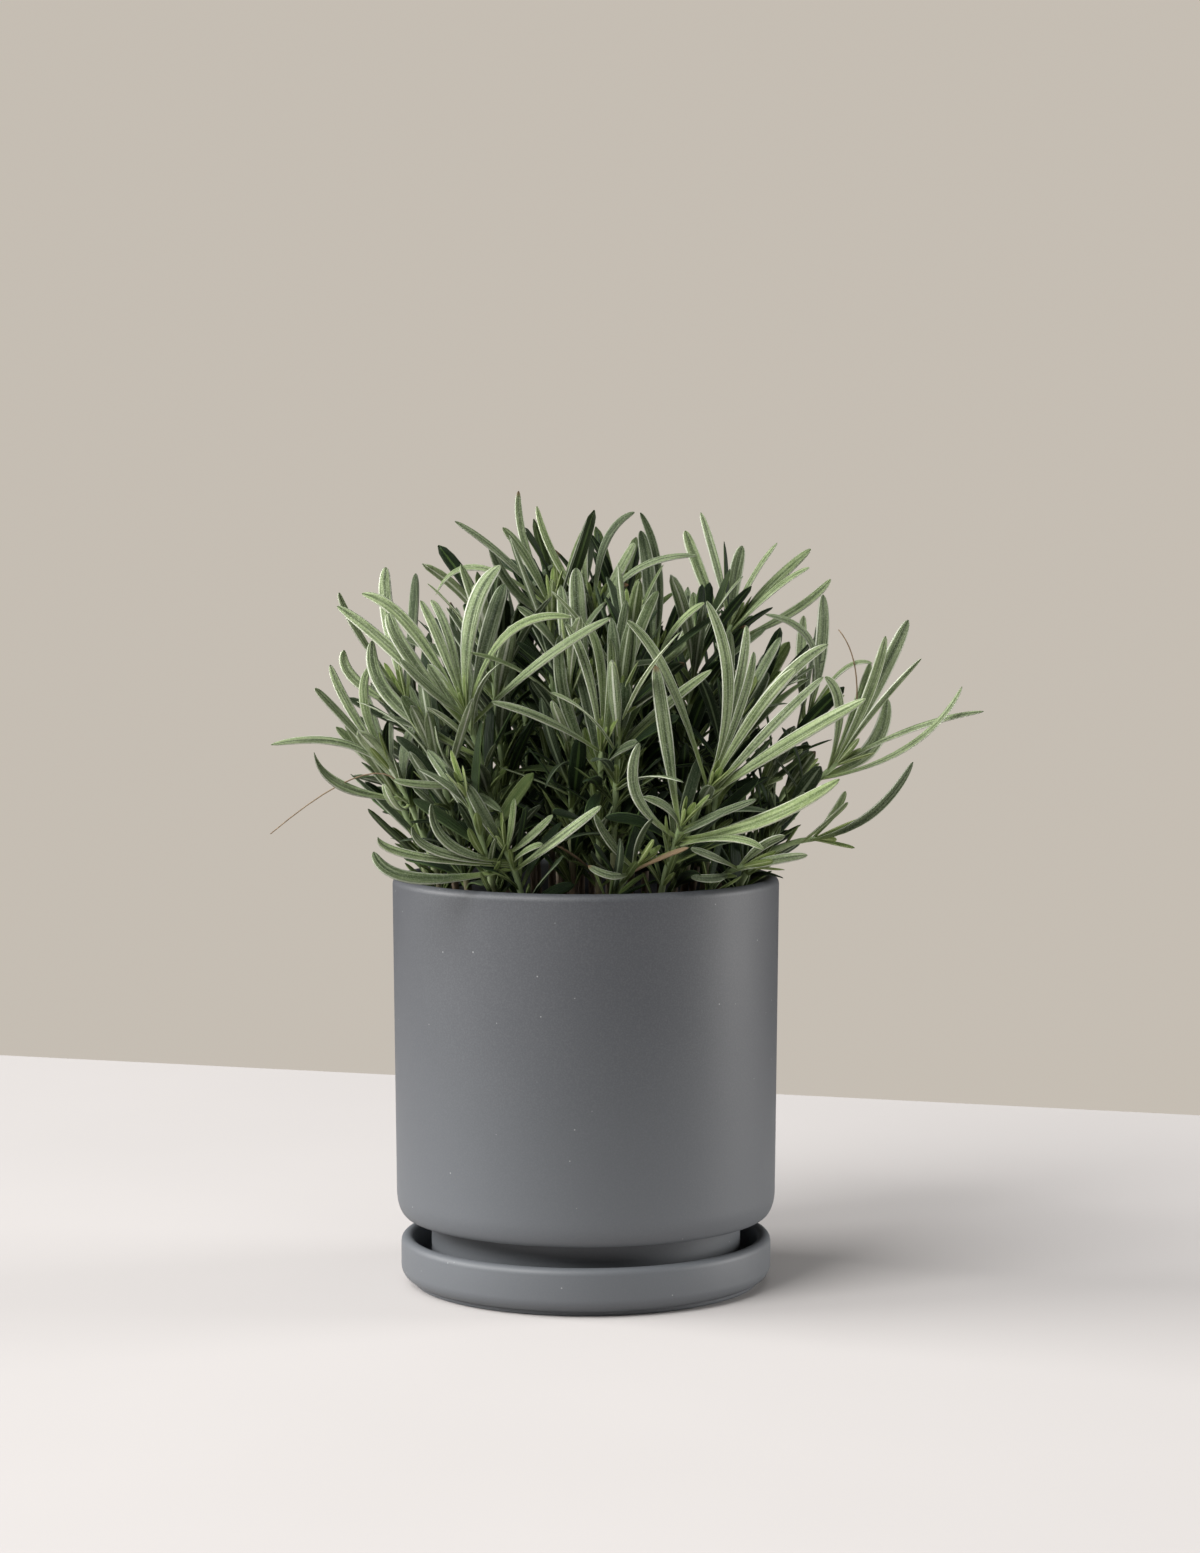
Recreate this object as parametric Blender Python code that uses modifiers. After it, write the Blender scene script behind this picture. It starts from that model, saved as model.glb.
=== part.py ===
"""Potted lavender: a young bushy lavender in a straight glazed cylinder pot that stands in its own saucer.

Metres, +Z up. The origin is the middle of the saucer's underside, and the front of the pot looks towards -Y.
Nothing here moves: the shoots grow out of the soil, the soil fills the pot, and the pot rests in its saucer.
"""

import math
import random

import bmesh
import bpy
import numpy as np
from mathutils import Vector
from mathutils.bvhtree import BVHTree

MM = 0.001

# ---- Sizes that can be set by themselves -------------------------------------------------------------

TURN_STEPS = 36              # flat sides of each turned piece
ROUND_STEPS = 4              # straight pieces in a rounded corner
GAP = 0.3 * MM               # between pieces that rest on one another

POT_R = 63.5 * MM            # outside of the pot at its rim
POT_H = 128.9 * MM           # from the foot that stands in the saucer to the rim
POT_WALL = 4.8 * MM
POT_TAPER = 0.0103           # how much the radius shrinks for each unit of height below the rim
POT_BASE = 6.0 * MM          # thickness of the pot's floor
POT_FOOT_INSET = 12.5 * MM   # how far the foot stands back below the body
POT_CORNER_OUT = 3.5 * MM    # rounding between body and foot: across
POT_CORNER_UP = 8.0 * MM     # and upwards
DRAIN_R = 6.0 * MM           # the drain hole in the pot's floor

SAUCER_H = 15.8 * MM
SAUCER_WALL = 4.4 * MM
SAUCER_BASE = 5.0 * MM       # thickness of its floor
SAUCER_CORNER = 4.5 * MM     # rounding between its wall and its underside
SAUCER_INNER_CORNER = 2.2 * MM
SAUCER_FOOT_INSET = 4.0 * MM
SAUCER_FOOT_H = 1.5 * MM
WATER_GAP = 5.6 * MM         # between the pot's foot and the saucer's wall
SHADOW_GAP = 6.7 * MM        # between the saucer's rim and the pot's body above it

SOIL_BELOW_RIM = 14.0 * MM

CROWN_R = 80.0 * MM          # how far the leafy mass reaches from the middle
CROWN_H = 125.0 * MM         # from the soil to the top of the mass
STEM_R = 1.15 * MM           # of a stem at the soil
STEM_TIP_R = 0.8 * MM        # and at its tip
LEAF_LENGTH = 43.0 * MM      # of a full-grown leaf
LEAF_WIDTH = 4.4 * MM
LEAF_THICK = 1.1 * MM
CLEAR = 0.35 * MM            # kept between one shoot and the next, the pot or the soil

# ---- Worked out from them ----------------------------------------------------------------------------

POT_Z = SAUCER_BASE + GAP
RIM_Z = POT_Z + POT_H
SHOULDER_Z = SAUCER_H + SHADOW_GAP
POT_FOOT_R = POT_R - POT_FOOT_INSET
SAUCER_R = POT_FOOT_R + WATER_GAP + SAUCER_WALL
SOIL_Z = RIM_Z - SOIL_BELOW_RIM


def tapered(radius, z):
    """What a radius at the rim has shrunk to at a height below it."""
    return radius - POT_TAPER * (RIM_Z - z)


SOIL_R = tapered(POT_R - POT_WALL - GAP, SOIL_Z)

# ---- Shoots and leaves that are placed by hand -------------------------------------------------------
# In millimetres, from the middle of the soil's surface, for the crown and soil that they were placed at.

PLACED_CROWN_R = 80.0
PLACED_CROWN_H = 125.0
PLACED_SOIL_R = 58.0
PLACED_LEAF_WIDTH = 4.5

# name: root (x, y), tip of the stem (x, y, z)
PLACED_SHOOTS = {
    "front_left": ((-24, -24), (-38, -40, 70)),
    "left_reach": ((-45, -12), (-62, -24, 50)),
    "low_left": ((-18, -42), (-25, -52, 27)),
    "front_middle": ((4, -28), (5, -46, 58)),
    "front_right": ((26, -25), (39, -44, 46)),
    "low_right": ((22, -44), (30, -56, 35)),
    "right_reach": ((45, -8), (82, -12, 52)),
    "right_edge": ((47, -23), (74, -22, 28)),
    "right_top": ((24, 8), (48, 10, 96)),
    "right_middle": ((34, 14), (56, 8, 72)),
    "right_back": ((41, 8), (74, 2, 67)),
    "centre_top": ((2, 4), (3, 2, 100)),
    "centre_left_top": ((-11, -6), (-11, -6, 103)),
    "left_upper": ((-37, 0), (-59, -4, 72)),
    "centre_front": ((-4, -14), (1, -24, 76)),
    "right_centre": ((14, -6), (22, -14, 84)),
    "low_middle": ((4, -47), (16, -54, 22)),
    "rim_right": ((36, -36), (50, -42, 21)),
}

# shoot: leaves, each as the distance below the tip where it grows, a point that it passes through
# halfway, its tip, and its width
PLACED_LEAVES = {
    "front_left": (
        (2, (-48, -48, 77), (-58, -52, 87), 4.6),
        (8, (-55, -44, 87), (-62, -40, 101), 5.0),
        (30, (-42, -50, 53), (-47, -54, 66), 5.0),
        (1, (-45, -42, 90), (-52, -40, 105), 3.4),
        (1, (-43, -38, 93), (-49, -34, 105), 3.2),
        (2, (-36, -40, 99), (-27, -34, 116), 6.0),
        (5, (-31, -36, 93), (-26, -26, 110), 6.0),
        (3, (-25, -46, 94), (-4, -54, 100), 3.6),
        (4, (-55, -36, 96), (-71, -32, 107), 4.4),
        (9, (-60, -36, 88), (-79, -30, 103), 4.4),
        (6, (-14, -52, 86), (8, -60, 100), 4.0),
        (18, (-61, -34, 73), (-68, -28, 92), 5.0),
        (28, (-49, -46, 47), (-60, -50, 49), 3.6),
    ),
    "left_reach": (
        (1, (-75, -24, 69), (-82, -22, 84), 3.2),
        (2, (-77, -30, 67), (-86, -34, 77), 3.2),
        (3, (-77, -28, 59), (-100, -34, 59), 3.4),
        (2, (-71, -16, 69), (-70, -12, 83), 3.4),
        (12, (-78, -32, 46), (-86, -40, 57), 5.6),
        (14, (-60, -34, 39), (-64, -40, 47), 4.0),
    ),
    "low_left": (
        (1, (-32, -58, 38), (-38, -60, 48), 4.2),
        (1, (-23, -60, 35), (-22, -62, 44), 3.0),
        (2, (-17, -60, 32), (-10, -64, 39), 3.4),
        (5, (-42, -56, 29), (-48, -58, 42), 3.8),
        (6, (-46, -52, 27), (-54, -52, 35), 3.6),
        (7, (-55, -56, 26), (-66, -58, 32), 3.4),
        (8, (-53, -60, 19), (-66, -58, 27), 4.6),
        (6, (-18, -62, 28), (-13, -66, 30), 2.8),
        (9, (-9, -62, 31), (5, -66, 42), 3.8),
    ),
    "front_middle": (
        (1, (-12, -56, 68), (-29, -62, 74), 3.4),
        (1, (1, -50, 82), (-6, -52, 98), 3.4),
        (2, (5, -48, 84), (0, -46, 98), 3.2),
        (2, (8, -52, 77), (8, -54, 93), 3.2),
        (3, (15, -44, 90), (23, -38, 108), 4.0),
        (2, (10, -42, 88), (13, -38, 105), 3.2),
        (10, (-6, -44, 72), (-8, -40, 94), 4.4),
        (4, (21, -50, 77), (41, -54, 88), 3.6),
        (8, (22, -46, 69), (40, -44, 83), 3.8),
    ),
    "front_right": (
        (1, (26, -52, 81), (13, -54, 99), 3.8),
        (3, (45, -46, 77), (38, -48, 105), 4.2),
        (2, (48, -42, 77), (51, -38, 97), 3.4),
        (2, (49, -46, 72), (53, -46, 89), 3.0),
        (4, (58, -42, 75), (77, -36, 91), 4.2),
        (4, (53, -48, 69), (66, -50, 84), 3.8),
        (5, (62, -54, 60), (87, -62, 75), 5.0),
        (8, (56, -50, 63), (75, -44, 81), 3.4),
    ),
    "low_right": (
        (2, (25, -56, 64), (22, -54, 85), 5.0),
        (2, (26, -66, 41), (18, -70, 45), 3.6),
        (6, (54, -64, 37), (79, -62, 50), 5.2),
        (2, (41, -62, 39), (53, -66, 44), 3.2),
        (4, (36, -64, 36), (43, -68, 40), 2.6),
        (5, (16, -60, 45), (17, -58, 61), 4.2),
        (9, (44, -66, 32), (55, -72, 29), 3.0),
    ),
    "right_reach": (
        (3, (94, -10, 76), (105, -6, 98), 5.6),
        (2, (91, -14, 73), (97, -14, 93), 4.4),
        (1, (93, -18, 69), (108, -20, 86), 2.6),
        (4, (88, -6, 69), (93, -2, 84), 3.6),
        (2, (105, -18, 63), (128, -22, 69), 3.0),
        (8, (104, -24, 58), (121, -22, 77), 3.6),
        (6, (93, -4, 56), (99, 2, 72), 5.4),
        (5, (82, -16, 69), (77, -20, 80), 4.6),
    ),
    "right_edge": (
        (2, (91, -28, 36), (105, -26, 53), 3.6),
        (1, (80, -20, 36), (84, -18, 43), 3.0),
        (4, (79, -32, 36), (83, -38, 41), 3.0),
    ),
    "right_top": (
        (1, (43, 12, 116), (38, 16, 133), 3.6),
        (3, (49, 18, 109), (52, 22, 122), 5.0),
        (1, (54, 8, 110), (63, 8, 123), 2.8),
        (3, (60, 10, 108), (74, 8, 121), 5.0),
        (5, (61, 2, 107), (73, -2, 115), 3.4),
        (8, (68, 14, 100), (81, 14, 111), 4.0),
        (6, (38, 18, 113), (33, 22, 127), 5.0),
    ),
    "right_back": (
        (2, (77, 2, 87), (78, 6, 106), 5.2),
        (4, (74, -8, 89), (58, -14, 100), 3.4),
        (3, (83, -6, 81), (93, -10, 84), 2.8),
        (4, (71, 8, 83), (72, 12, 99), 4.4),
    ),
    "centre_top": (
        (1, (6, 4, 122), (16, 2, 133), 3.4),
        (2, (10, 0, 112), (16, -2, 123), 5.0),
        (3, (16, -8, 114), (36, -12, 119), 3.6),
        (1, (-1, 6, 117), (3, 8, 131), 3.4),
        (2, (-10, 0, 118), (-16, 2, 135), 3.2),
    ),
    "centre_left_top": (
        (2, (-26, -14, 118), (-42, -18, 130), 3.6),
        (1, (-20, 2, 123), (-22, 4, 140), 3.0),
        (3, (-18, -4, 116), (-27, -6, 128), 4.4),
        (6, (-24, -10, 109), (-31, -12, 123), 5.0),
        (2, (-35, -2, 115), (-49, 0, 106), 3.2),
    ),
    "left_upper": (
        (2, (-74, -8, 94), (-80, -10, 107), 3.8),
        (6, (-75, -2, 78), (-79, 0, 88), 4.2),
        (4, (-65, 8, 97), (-66, 12, 115), 5.0),
        (2, (-57, 4, 95), (-56, 8, 113), 4.0),
    ),
    "centre_front": (
        (2, (-2, -20, 97), (-3, -16, 115), 6.0),
    ),
    "right_centre": (
        (2, (29, -22, 96), (38, -28, 104), 4.0),
        (3, (33, -8, 93), (35, -4, 107), 5.0),
        (5, (21, 4, 108), (18, 10, 127), 5.0),
        (4, (24, 10, 111), (18, 16, 133), 3.2),
    ),
    "low_middle": (
        (1, (8, -60, 30), (3, -62, 39), 3.4),
        (3, (8, -62, 20), (1, -62, 23), 3.0),
        (2, (17, -60, 31), (21, -64, 38), 3.0),
        (3, (25, -62, 26), (32, -68, 29), 3.0),
    ),
    "rim_right": (
        (2, (40, -52, 25), (33, -58, 28), 2.8),
        (2, (55, -44, 27), (63, -46, 31), 3.2),
        (4, (58, -46, 23), (70, -48, 25), 3.4),
        (5, (41, -50, 18), (33, -58, 19), 3.0),
    ),
}

# ---- How the plant grows -----------------------------------------------------------------------------

SEED = 11
STEM_RINGS = 4                # points along a stem
SQUARE_CORNERS = 1.2          # reach of a square tube that is turned any way round a stem
WALL_SIDES = 64
STEM_AXIS = Vector((1.0, 0.3, 0.0))   # leaves and corners of a stem are counted from here

SPIRAL_SPOTS = 44             # spots over the soil, before those near a hand-placed shoot are passed over
GOLDEN_TURN = math.pi * (3 - math.sqrt(5))
NEAREST_ROOT = 8.0            # between a spot and a hand-placed shoot, in millimetres as they were placed
NEAREST_TIP = 13.0
ROOT_REACH = 0.9              # of the outermost root, as a share of the soil's radius
TIP_REACH = (0.78, 0.12)      # how far tips lean out, as a share of the crown: inside, and more outside
DOME_TOP = 0.86               # height of the middle tips, as a share of the crown's
DOME_FALL = 0.54              # how much lower the outermost ones are
DOME_CURVE = 2.3
STEM_PULLS = (1.0, 0.94, 0.88, 0.8, 0.7)     # roots move in, bends move and roots turn until a stem is clear
STEM_LEANS = (0.35, 0.25, 0.45, 0.15, 0.05)
STEM_TURNS = (0.0, 0.12, -0.12, 0.25, -0.25)
STEM_RISE = 0.96

PLACED_STATIONS = ((0.0, 0.30), (0.4, 0.92), (0.8, 0.90))   # along the leaf, share of its width
RULED_STATIONS = ((0.0, 0.35), (0.58, 1.0))                 # the many leaves that grow by rule are plainer
SECTION = ((1, 0), (0, 1), (-1, 0), (0, -1))                # sideways and up, in halves
OUTER_PART = 0.3              # leaves of one shoot may touch nearer to the stem than this
SHOWN_SIDE = Vector((0.0, -1.5, 0.5))        # hand-placed leaves turn their flat side to the front
LOWEST_BASE = 0.05            # of a leaf on its stem, as a share of the stem
PLACED_SHIFTS = (0, 2, -2, 4, -4, 6, -6, 9, -9)   # tries to the back and front, in millimetres
PLACED_SIDE_SHIFTS = (0, 1.5, -1.5)

PAIR_SIZES = (0.75, 1.0, 1.0, 0.75, 0.55)    # share of a full leaf's length, from the tip of a shoot down
PLACED_SHOOTS_FIRST_PAIR = 3                 # the pairs above it are the hand-placed leaves
FIRST_PAIR_BELOW = 1.5 * MM                  # from the tip of the stem
PAIR_STEP = (4.0 * MM, 11.0 * MM)            # down to the next pair: at the tip, and more at the bottom
PAIR_OPENING = (12.0, 38.0)                  # degrees from the stem: at the tip, and more at the bottom
FULL_HEIGHT = 110 * MM                       # shoots shorter than this have shorter leaves
SHORTEST_LEAVES = 0.45
LOWEST_PAIR = 0.08
LEAF_TRIES = 14
LOOSE = (0.12, 0.11)                         # spread of a leaf's turn: at the first try, and more each time
LOOSE_OPENING = 0.4                          # the same for its opening, as a share of that
OPENING_SHARES = (0.75, 1.3)                 # least and most of what the rule gives a leaf
LENGTH_SHARES = (0.85, 1.12)
WIDTH_SHARES = (0.78, 1.2)
SHORTER = 0.03                               # and how much shorter each try is
BEND = (16, 16)                              # degrees that a leaf bends outwards: mean and spread
TWIST = 0.5
DROOP = 0.16
OUTLINE = (0.8, 0.45)                        # tips reach this share of the crown at the soil, and more up


def placed(x, y, z):
    """A hand-placed point in metres, stretched with the crown."""
    return Vector((
        x * CROWN_R / PLACED_CROWN_R,
        y * CROWN_R / PLACED_CROWN_R,
        SOIL_Z + z * CROWN_H / PLACED_CROWN_H,
    ))


def placed_root(x, y):
    """Where a stem starts. Its foot may slant, so it starts its own radius above the soil."""
    stretch = SOIL_R / PLACED_SOIL_R
    return Vector((x * stretch, y * stretch, SOIL_Z + GAP + STEM_R))


def bezier(line, s):
    a, b, c = line
    return a * (1 - s) ** 2 + b * (2 * s * (1 - s)) + c * s ** 2


def bezier_way(line, s):
    a, b, c = line
    return ((b - a) * (1 - s) + (c - b) * s).normalized()


def on_stem(line, s):
    """A point on the stem as it is built, in straight pieces between its rings."""
    pieces = STEM_RINGS - 1
    piece = min(int(s * pieces), pieces - 1)
    low = bezier(line, piece / pieces)
    return low.lerp(bezier(line, (piece + 1) / pieces), s * pieces - piece)


def square_to(way, towards):
    """The direction nearest to towards that is at right angles to way."""
    return (towards - way * towards.dot(way)).normalized()


class Leaf:
    """One leaf: a curved midrib, the way that its upper face looks, a width and a twist."""

    def __init__(self, shoot, line, face, width, stations, twist=0.0):
        self.shoot = shoot
        self.line = line
        self.width = width
        self.stations = stations
        self.twist = twist
        way = bezier_way(line, 0.5)
        self.side = way.cross(square_to(way, face))

    def frame(self, s):
        """The midrib's point at s, with the blade's sideways and upward directions there."""
        way = bezier_way(self.line, s)
        side = square_to(way, self.side)
        up = side.cross(way)
        turn = self.twist * s
        return (
            bezier(self.line, s),
            side * math.cos(turn) + up * math.sin(turn),
            up * math.cos(turn) - side * math.sin(turn),
        )

    def shape(self, grown=0.0, start=0.0):
        """Points and faces of the plain blade: equal sections that close to a point at the tip.

        A twisted blade has no flat four-sided faces, so its sides are triangles.
        """
        corners = len(SECTION)
        points = []
        faces = [tuple(range(corners))]
        for s, share in self.stations:
            centre, side, up = self.frame(max(s, start))
            half = self.width / 2 * share + grown
            thick = LEAF_THICK / 2 + grown
            points += [centre + side * (half * x) + up * (thick * y) for x, y in SECTION]
        points.append(self.line[2] + bezier_way(self.line, 1.0) * grown)
        tip = len(points) - 1
        for ring in range(0, tip - corners, corners):
            for k in range(corners):
                after = (k + 1) % corners
                faces.append((ring + k, ring + corners + k, ring + corners + after))
                faces.append((ring + k, ring + corners + after, ring + after))
        for k in range(corners):
            faces.append((tip - corners + k, tip, tip - corners + (k + 1) % corners))
        return points, faces


def stem_shape(line, grown):
    """A plain square tube round a stem, to keep other things clear of it."""
    points = []
    for ring in range(STEM_RINGS):
        s = ring / (STEM_RINGS - 1)
        way = bezier_way(line, s)
        a = square_to(way, STEM_AXIS)
        b = way.cross(a)
        r = (STEM_R + (STEM_TIP_R - STEM_R) * s + grown) * SQUARE_CORNERS
        points += [bezier(line, s) + (a * x + b * y) * r for x, y in SECTION]
    last = 4 * (STEM_RINGS - 1)
    faces = [(3, 2, 1, 0), (last, last + 1, last + 2, last + 3)]
    for ring in range(0, last, 4):
        for k in range(4):
            after = (k + 1) % 4
            faces.append((ring + k, ring + after, ring + 4 + after, ring + 4 + k))
    return points, faces


def ring_shape(low_r, low, high_r, high):
    """An open ring of faces between two circles, for the sides and the top of the pot's wall."""
    points = []
    for radius, z in ((low_r, low), (high_r, high)):
        for k in range(WALL_SIDES):
            turn = 2 * math.pi * k / WALL_SIDES
            points.append(Vector((radius * math.cos(turn), radius * math.sin(turn), z)))
    faces = []
    for k in range(WALL_SIDES):
        after = (k + 1) % WALL_SIDES
        faces.append((k, after, WALL_SIDES + after, WALL_SIDES + k))
    return points, faces


class Room:
    """What has grown so far, and whether a new stem or leaf is clear of it."""

    def __init__(self):
        self.owners = []
        self.trees = []
        self.outer_trees = []
        self.boxes = []
        inner_r = POT_R - POT_WALL - CLEAR
        outer_r = POT_R + CLEAR
        top = RIM_Z + CLEAR
        self.add("pot", ring_shape(inner_r, SOIL_Z, inner_r, top))
        self.add("pot", ring_shape(outer_r, SOIL_Z, outer_r, top))
        self.add("pot", ring_shape(inner_r, top, outer_r, top))

    def add(self, owner, shape, outer_shape=None):
        points = np.array([tuple(point) for point in shape[0]])
        self.owners.append(owner)
        self.trees.append(BVHTree.FromPolygons(*shape))
        self.outer_trees.append(BVHTree.FromPolygons(*outer_shape) if outer_shape else None)
        self.boxes.append((*points.min(0), *points.max(0)))

    def add_leaf(self, leaf):
        self.add(leaf.shoot, leaf.shape(), leaf.shape(0.0, OUTER_PART))

    def near(self, points):
        points = np.array([tuple(point) for point in points])
        boxes = np.array(self.boxes)
        meets = (boxes[:, :3] < points.max(0)) & (boxes[:, 3:] > points.min(0))
        return np.nonzero(meets.all(1))[0]

    def stem_is_clear(self, line):
        shape = stem_shape(line, CLEAR)
        tree = BVHTree.FromPolygons(*shape)
        return not any(tree.overlap(self.trees[i]) for i in self.near(shape[0]))

    def leaf_is_clear(self, leaf):
        shape = leaf.shape(CLEAR)
        whole = BVHTree.FromPolygons(*shape)
        outer = BVHTree.FromPolygons(*leaf.shape(0.0, OUTER_PART))
        for i in self.near(shape[0]):
            if self.owners[i] != leaf.shoot:
                if whole.overlap(self.trees[i]):
                    return False
            elif self.outer_trees[i] is not None and outer.overlap(self.outer_trees[i]):
                return False
        lowest = min(point.z for point in shape[0])
        return lowest > SOIL_Z + CLEAR


def stem_tries(root, tip):
    """Lines up out of the soil first, and over towards the tip after. A smaller lean bends later."""
    for turn in STEM_TURNS:
        for pull in STEM_PULLS:
            x = (root.x * math.cos(turn) - root.y * math.sin(turn)) * pull
            y = (root.x * math.sin(turn) + root.y * math.cos(turn)) * pull
            start = Vector((x, y, root.z))
            for lean in STEM_LEANS:
                middle = start.lerp(tip, lean)
                middle.z = start.z + (STEM_RISE - lean) * (tip.z - start.z)
                yield start, middle, tip


def clear_stem(room, root, tip):
    """The first line that misses the pot's wall and the other stems."""
    for line in stem_tries(root, tip):
        if room.stem_is_clear(line):
            break
    return line


def spiral_shoots():
    """Shoots between the hand-placed ones: roots on a sunflower spiral, and tips on a dome."""
    shoots = {}
    taken = [(Vector(root), Vector(tip)) for root, tip in PLACED_SHOOTS.values()]
    for spot in range(SPIRAL_SPOTS):
        share = math.sqrt((spot + 0.5) / SPIRAL_SPOTS)
        out = Vector((math.cos(spot * GOLDEN_TURN), math.sin(spot * GOLDEN_TURN)))
        root = out * (ROOT_REACH * PLACED_SOIL_R * share)
        lean = out * (PLACED_CROWN_R * (TIP_REACH[0] + TIP_REACH[1] * share) * share)
        tip = Vector((lean.x, lean.y, PLACED_CROWN_H * (DOME_TOP - DOME_FALL * share ** DOME_CURVE)))
        if all(
            (root - other_root).length > NEAREST_ROOT and (tip - other_tip).length > NEAREST_TIP
            for other_root, other_tip in taken
        ):
            shoots[f"{len(shoots) + 1:02d}"] = (tuple(root), tuple(tip))
    return shoots


def grow_stems(room):
    """Each shoot's stem, by name: first the hand-placed ones, then the spiral between them."""
    stems = {}
    for name, (root, tip) in (PLACED_SHOOTS | spiral_shoots()).items():
        line = clear_stem(room, placed_root(*root), placed(*tip))
        stems[name] = line
        room.add(name, stem_shape(line, 0.0))
    return stems


def placed_leaf(shoot, line, below, through, tip, width, shift):
    """A hand-placed leaf, moved by shift at its tip and half as much in its middle."""
    run = (line[2] - line[0]).length
    base = on_stem(line, max(LOWEST_BASE, 1 - below * MM / run))
    end = placed(*tip) + shift
    halfway = placed(*through) + shift / 2
    middle = halfway * 2 - (base + end) / 2
    way = bezier_way(line, 1.0)
    out = square_to(way, end - base)
    spread = way.angle(end - base)
    face = way * math.sin(spread) - out * math.cos(spread) + SHOWN_SIDE
    return Leaf(shoot, (base, middle, end), face, width * LEAF_WIDTH / PLACED_LEAF_WIDTH, PLACED_STATIONS)


def placed_leaf_tries(shoot, line, row):
    for away in PLACED_SHIFTS:
        for side in PLACED_SIDE_SHIFTS:
            yield placed_leaf(shoot, line, *row, Vector((side, away, 0)) * MM)


def grow_placed_leaves(room, stems):
    leaves = []
    for shoot, rows in PLACED_LEAVES.items():
        for row in rows:
            for leaf in placed_leaf_tries(shoot, stems[shoot], row):
                if room.leaf_is_clear(leaf):
                    leaves.append(leaf)
                    room.add_leaf(leaf)
                    break
    return leaves


def grown_leaf(shoot, line, place, turn, opening, bend, length, width, twist, droop):
    """A leaf that opens from its stem at an angle and bends further out towards its tip."""
    base = on_stem(line, place)
    way = bezier_way(line, place)
    a = square_to(way, STEM_AXIS)
    b = way.cross(a)
    out = a * math.cos(turn) + b * math.sin(turn)
    first = way * math.cos(opening) + out * math.sin(opening)
    last = way * math.cos(opening + bend) + out * math.sin(opening + bend)
    middle = base + first * (length / 2)
    tip = middle + last * (length / 2)
    tip.z -= droop * length
    face = way * math.sin(opening) - out * math.cos(opening)
    return Leaf(shoot, (base, middle, tip), face, width, RULED_STATIONS, twist)


def inside_outline(leaf):
    """True if a leaf's tip stays within the crown, which widens evenly from the soil to the top."""
    tip = leaf.line[2]
    height = (tip.z - SOIL_Z) / CROWN_H
    return math.hypot(tip.x, tip.y) < CROWN_R * (OUTLINE[0] + OUTLINE[1] * height)


def pair_plans(stems, dice):
    """Where each shoot's crosswise pairs would grow. The shoots take turns, so that none fills up first."""
    plans = []
    for shoot, line in stems.items():
        first = PLACED_SHOOTS_FIRST_PAIR if shoot in PLACED_LEAVES else 0
        run = (line[2] - line[0]).length
        grown = min(1.0, SHORTEST_LEAVES + (line[2].z - line[0].z) / FULL_HEIGHT)
        turn = dice.uniform(0, math.pi)
        below = FIRST_PAIR_BELOW
        for pair, size in enumerate(PAIR_SIZES):
            share = pair / (len(PAIR_SIZES) - 1)
            below += PAIR_STEP[0] + PAIR_STEP[1] * share
            turn += math.pi / 2
            place = 1 - below / run
            opening = math.radians(PAIR_OPENING[0] + PAIR_OPENING[1] * share)
            if pair >= first and place >= LOWEST_PAIR:
                for half in (0, math.pi):
                    length = size * grown * LEAF_LENGTH
                    plans.append((pair - first, shoot, line, place, turn + half, opening, length))
    return sorted(plans, key=lambda plan: plan[0])


def grow_pairs(room, stems):
    """Every pair that finds room. Each leaf has some tries, looser and shorter each time."""
    dice = random.Random(SEED)
    leaves = []
    for _, shoot, line, place, turn, opening, length in pair_plans(stems, dice):
        for attempt in range(LEAF_TRIES):
            loose = LOOSE[0] + LOOSE[1] * attempt
            leaf = grown_leaf(
                shoot, line, place,
                turn=turn + dice.gauss(0, loose),
                opening=opening * dice.uniform(*OPENING_SHARES) + dice.gauss(0, LOOSE_OPENING * loose),
                bend=math.radians(dice.gauss(*BEND)),
                length=length * dice.uniform(*LENGTH_SHARES) * (1 - SHORTER * attempt),
                width=LEAF_WIDTH * dice.uniform(*WIDTH_SHARES),
                twist=dice.gauss(0, TWIST),
                droop=dice.uniform(0.0, DROOP),
            )
            if inside_outline(leaf) and room.leaf_is_clear(leaf):
                leaves.append(leaf)
                room.add_leaf(leaf)
                break
    return leaves


def grow():
    """The whole plant: each shoot's stem by name, and all leaves."""
    room = Room()
    stems = grow_stems(room)
    leaves = grow_placed_leaves(room, stems)
    leaves += grow_pairs(room, stems)
    return stems, leaves


# ---- Shapes and materials ----------------------------------------------------------------------------


def clear_scene():
    for obj in list(bpy.data.objects):
        bpy.data.objects.remove(obj, do_unlink=True)


def new_collection(name):
    collection = bpy.data.collections.new(name)
    bpy.context.scene.collection.children.link(collection)
    return collection


def material(name, colour, roughness):
    made = bpy.data.materials.new(name)
    made.use_nodes = True
    shader = made.node_tree.nodes["Principled BSDF"]
    shader.inputs["Base Color"].default_value = (*colour, 1.0)
    shader.inputs["Roughness"].default_value = roughness
    shader.inputs["Metallic"].default_value = 0.0
    return made


def rounded(centre, across, up, start, end):
    """Points (radius, height) on a rounded corner, from one angle to another, in degrees."""
    points = []
    for k in range(ROUND_STEPS + 1):
        angle = math.radians(start + (end - start) * k / ROUND_STEPS)
        points.append((centre[0] + across * math.cos(angle), centre[1] + up * math.sin(angle)))
    return points


def lip(outer_r, top, wall):
    """The fully rounded top of a wall, from its inner side over to its outer side."""
    half = wall / 2
    return rounded((outer_r - half, top - half), half, half, 180, 0)


def taper(points):
    """Slants points of the pot's body inwards, as its taper asks at their height."""
    return [(tapered(radius, z), z) for radius, z in points]


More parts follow.
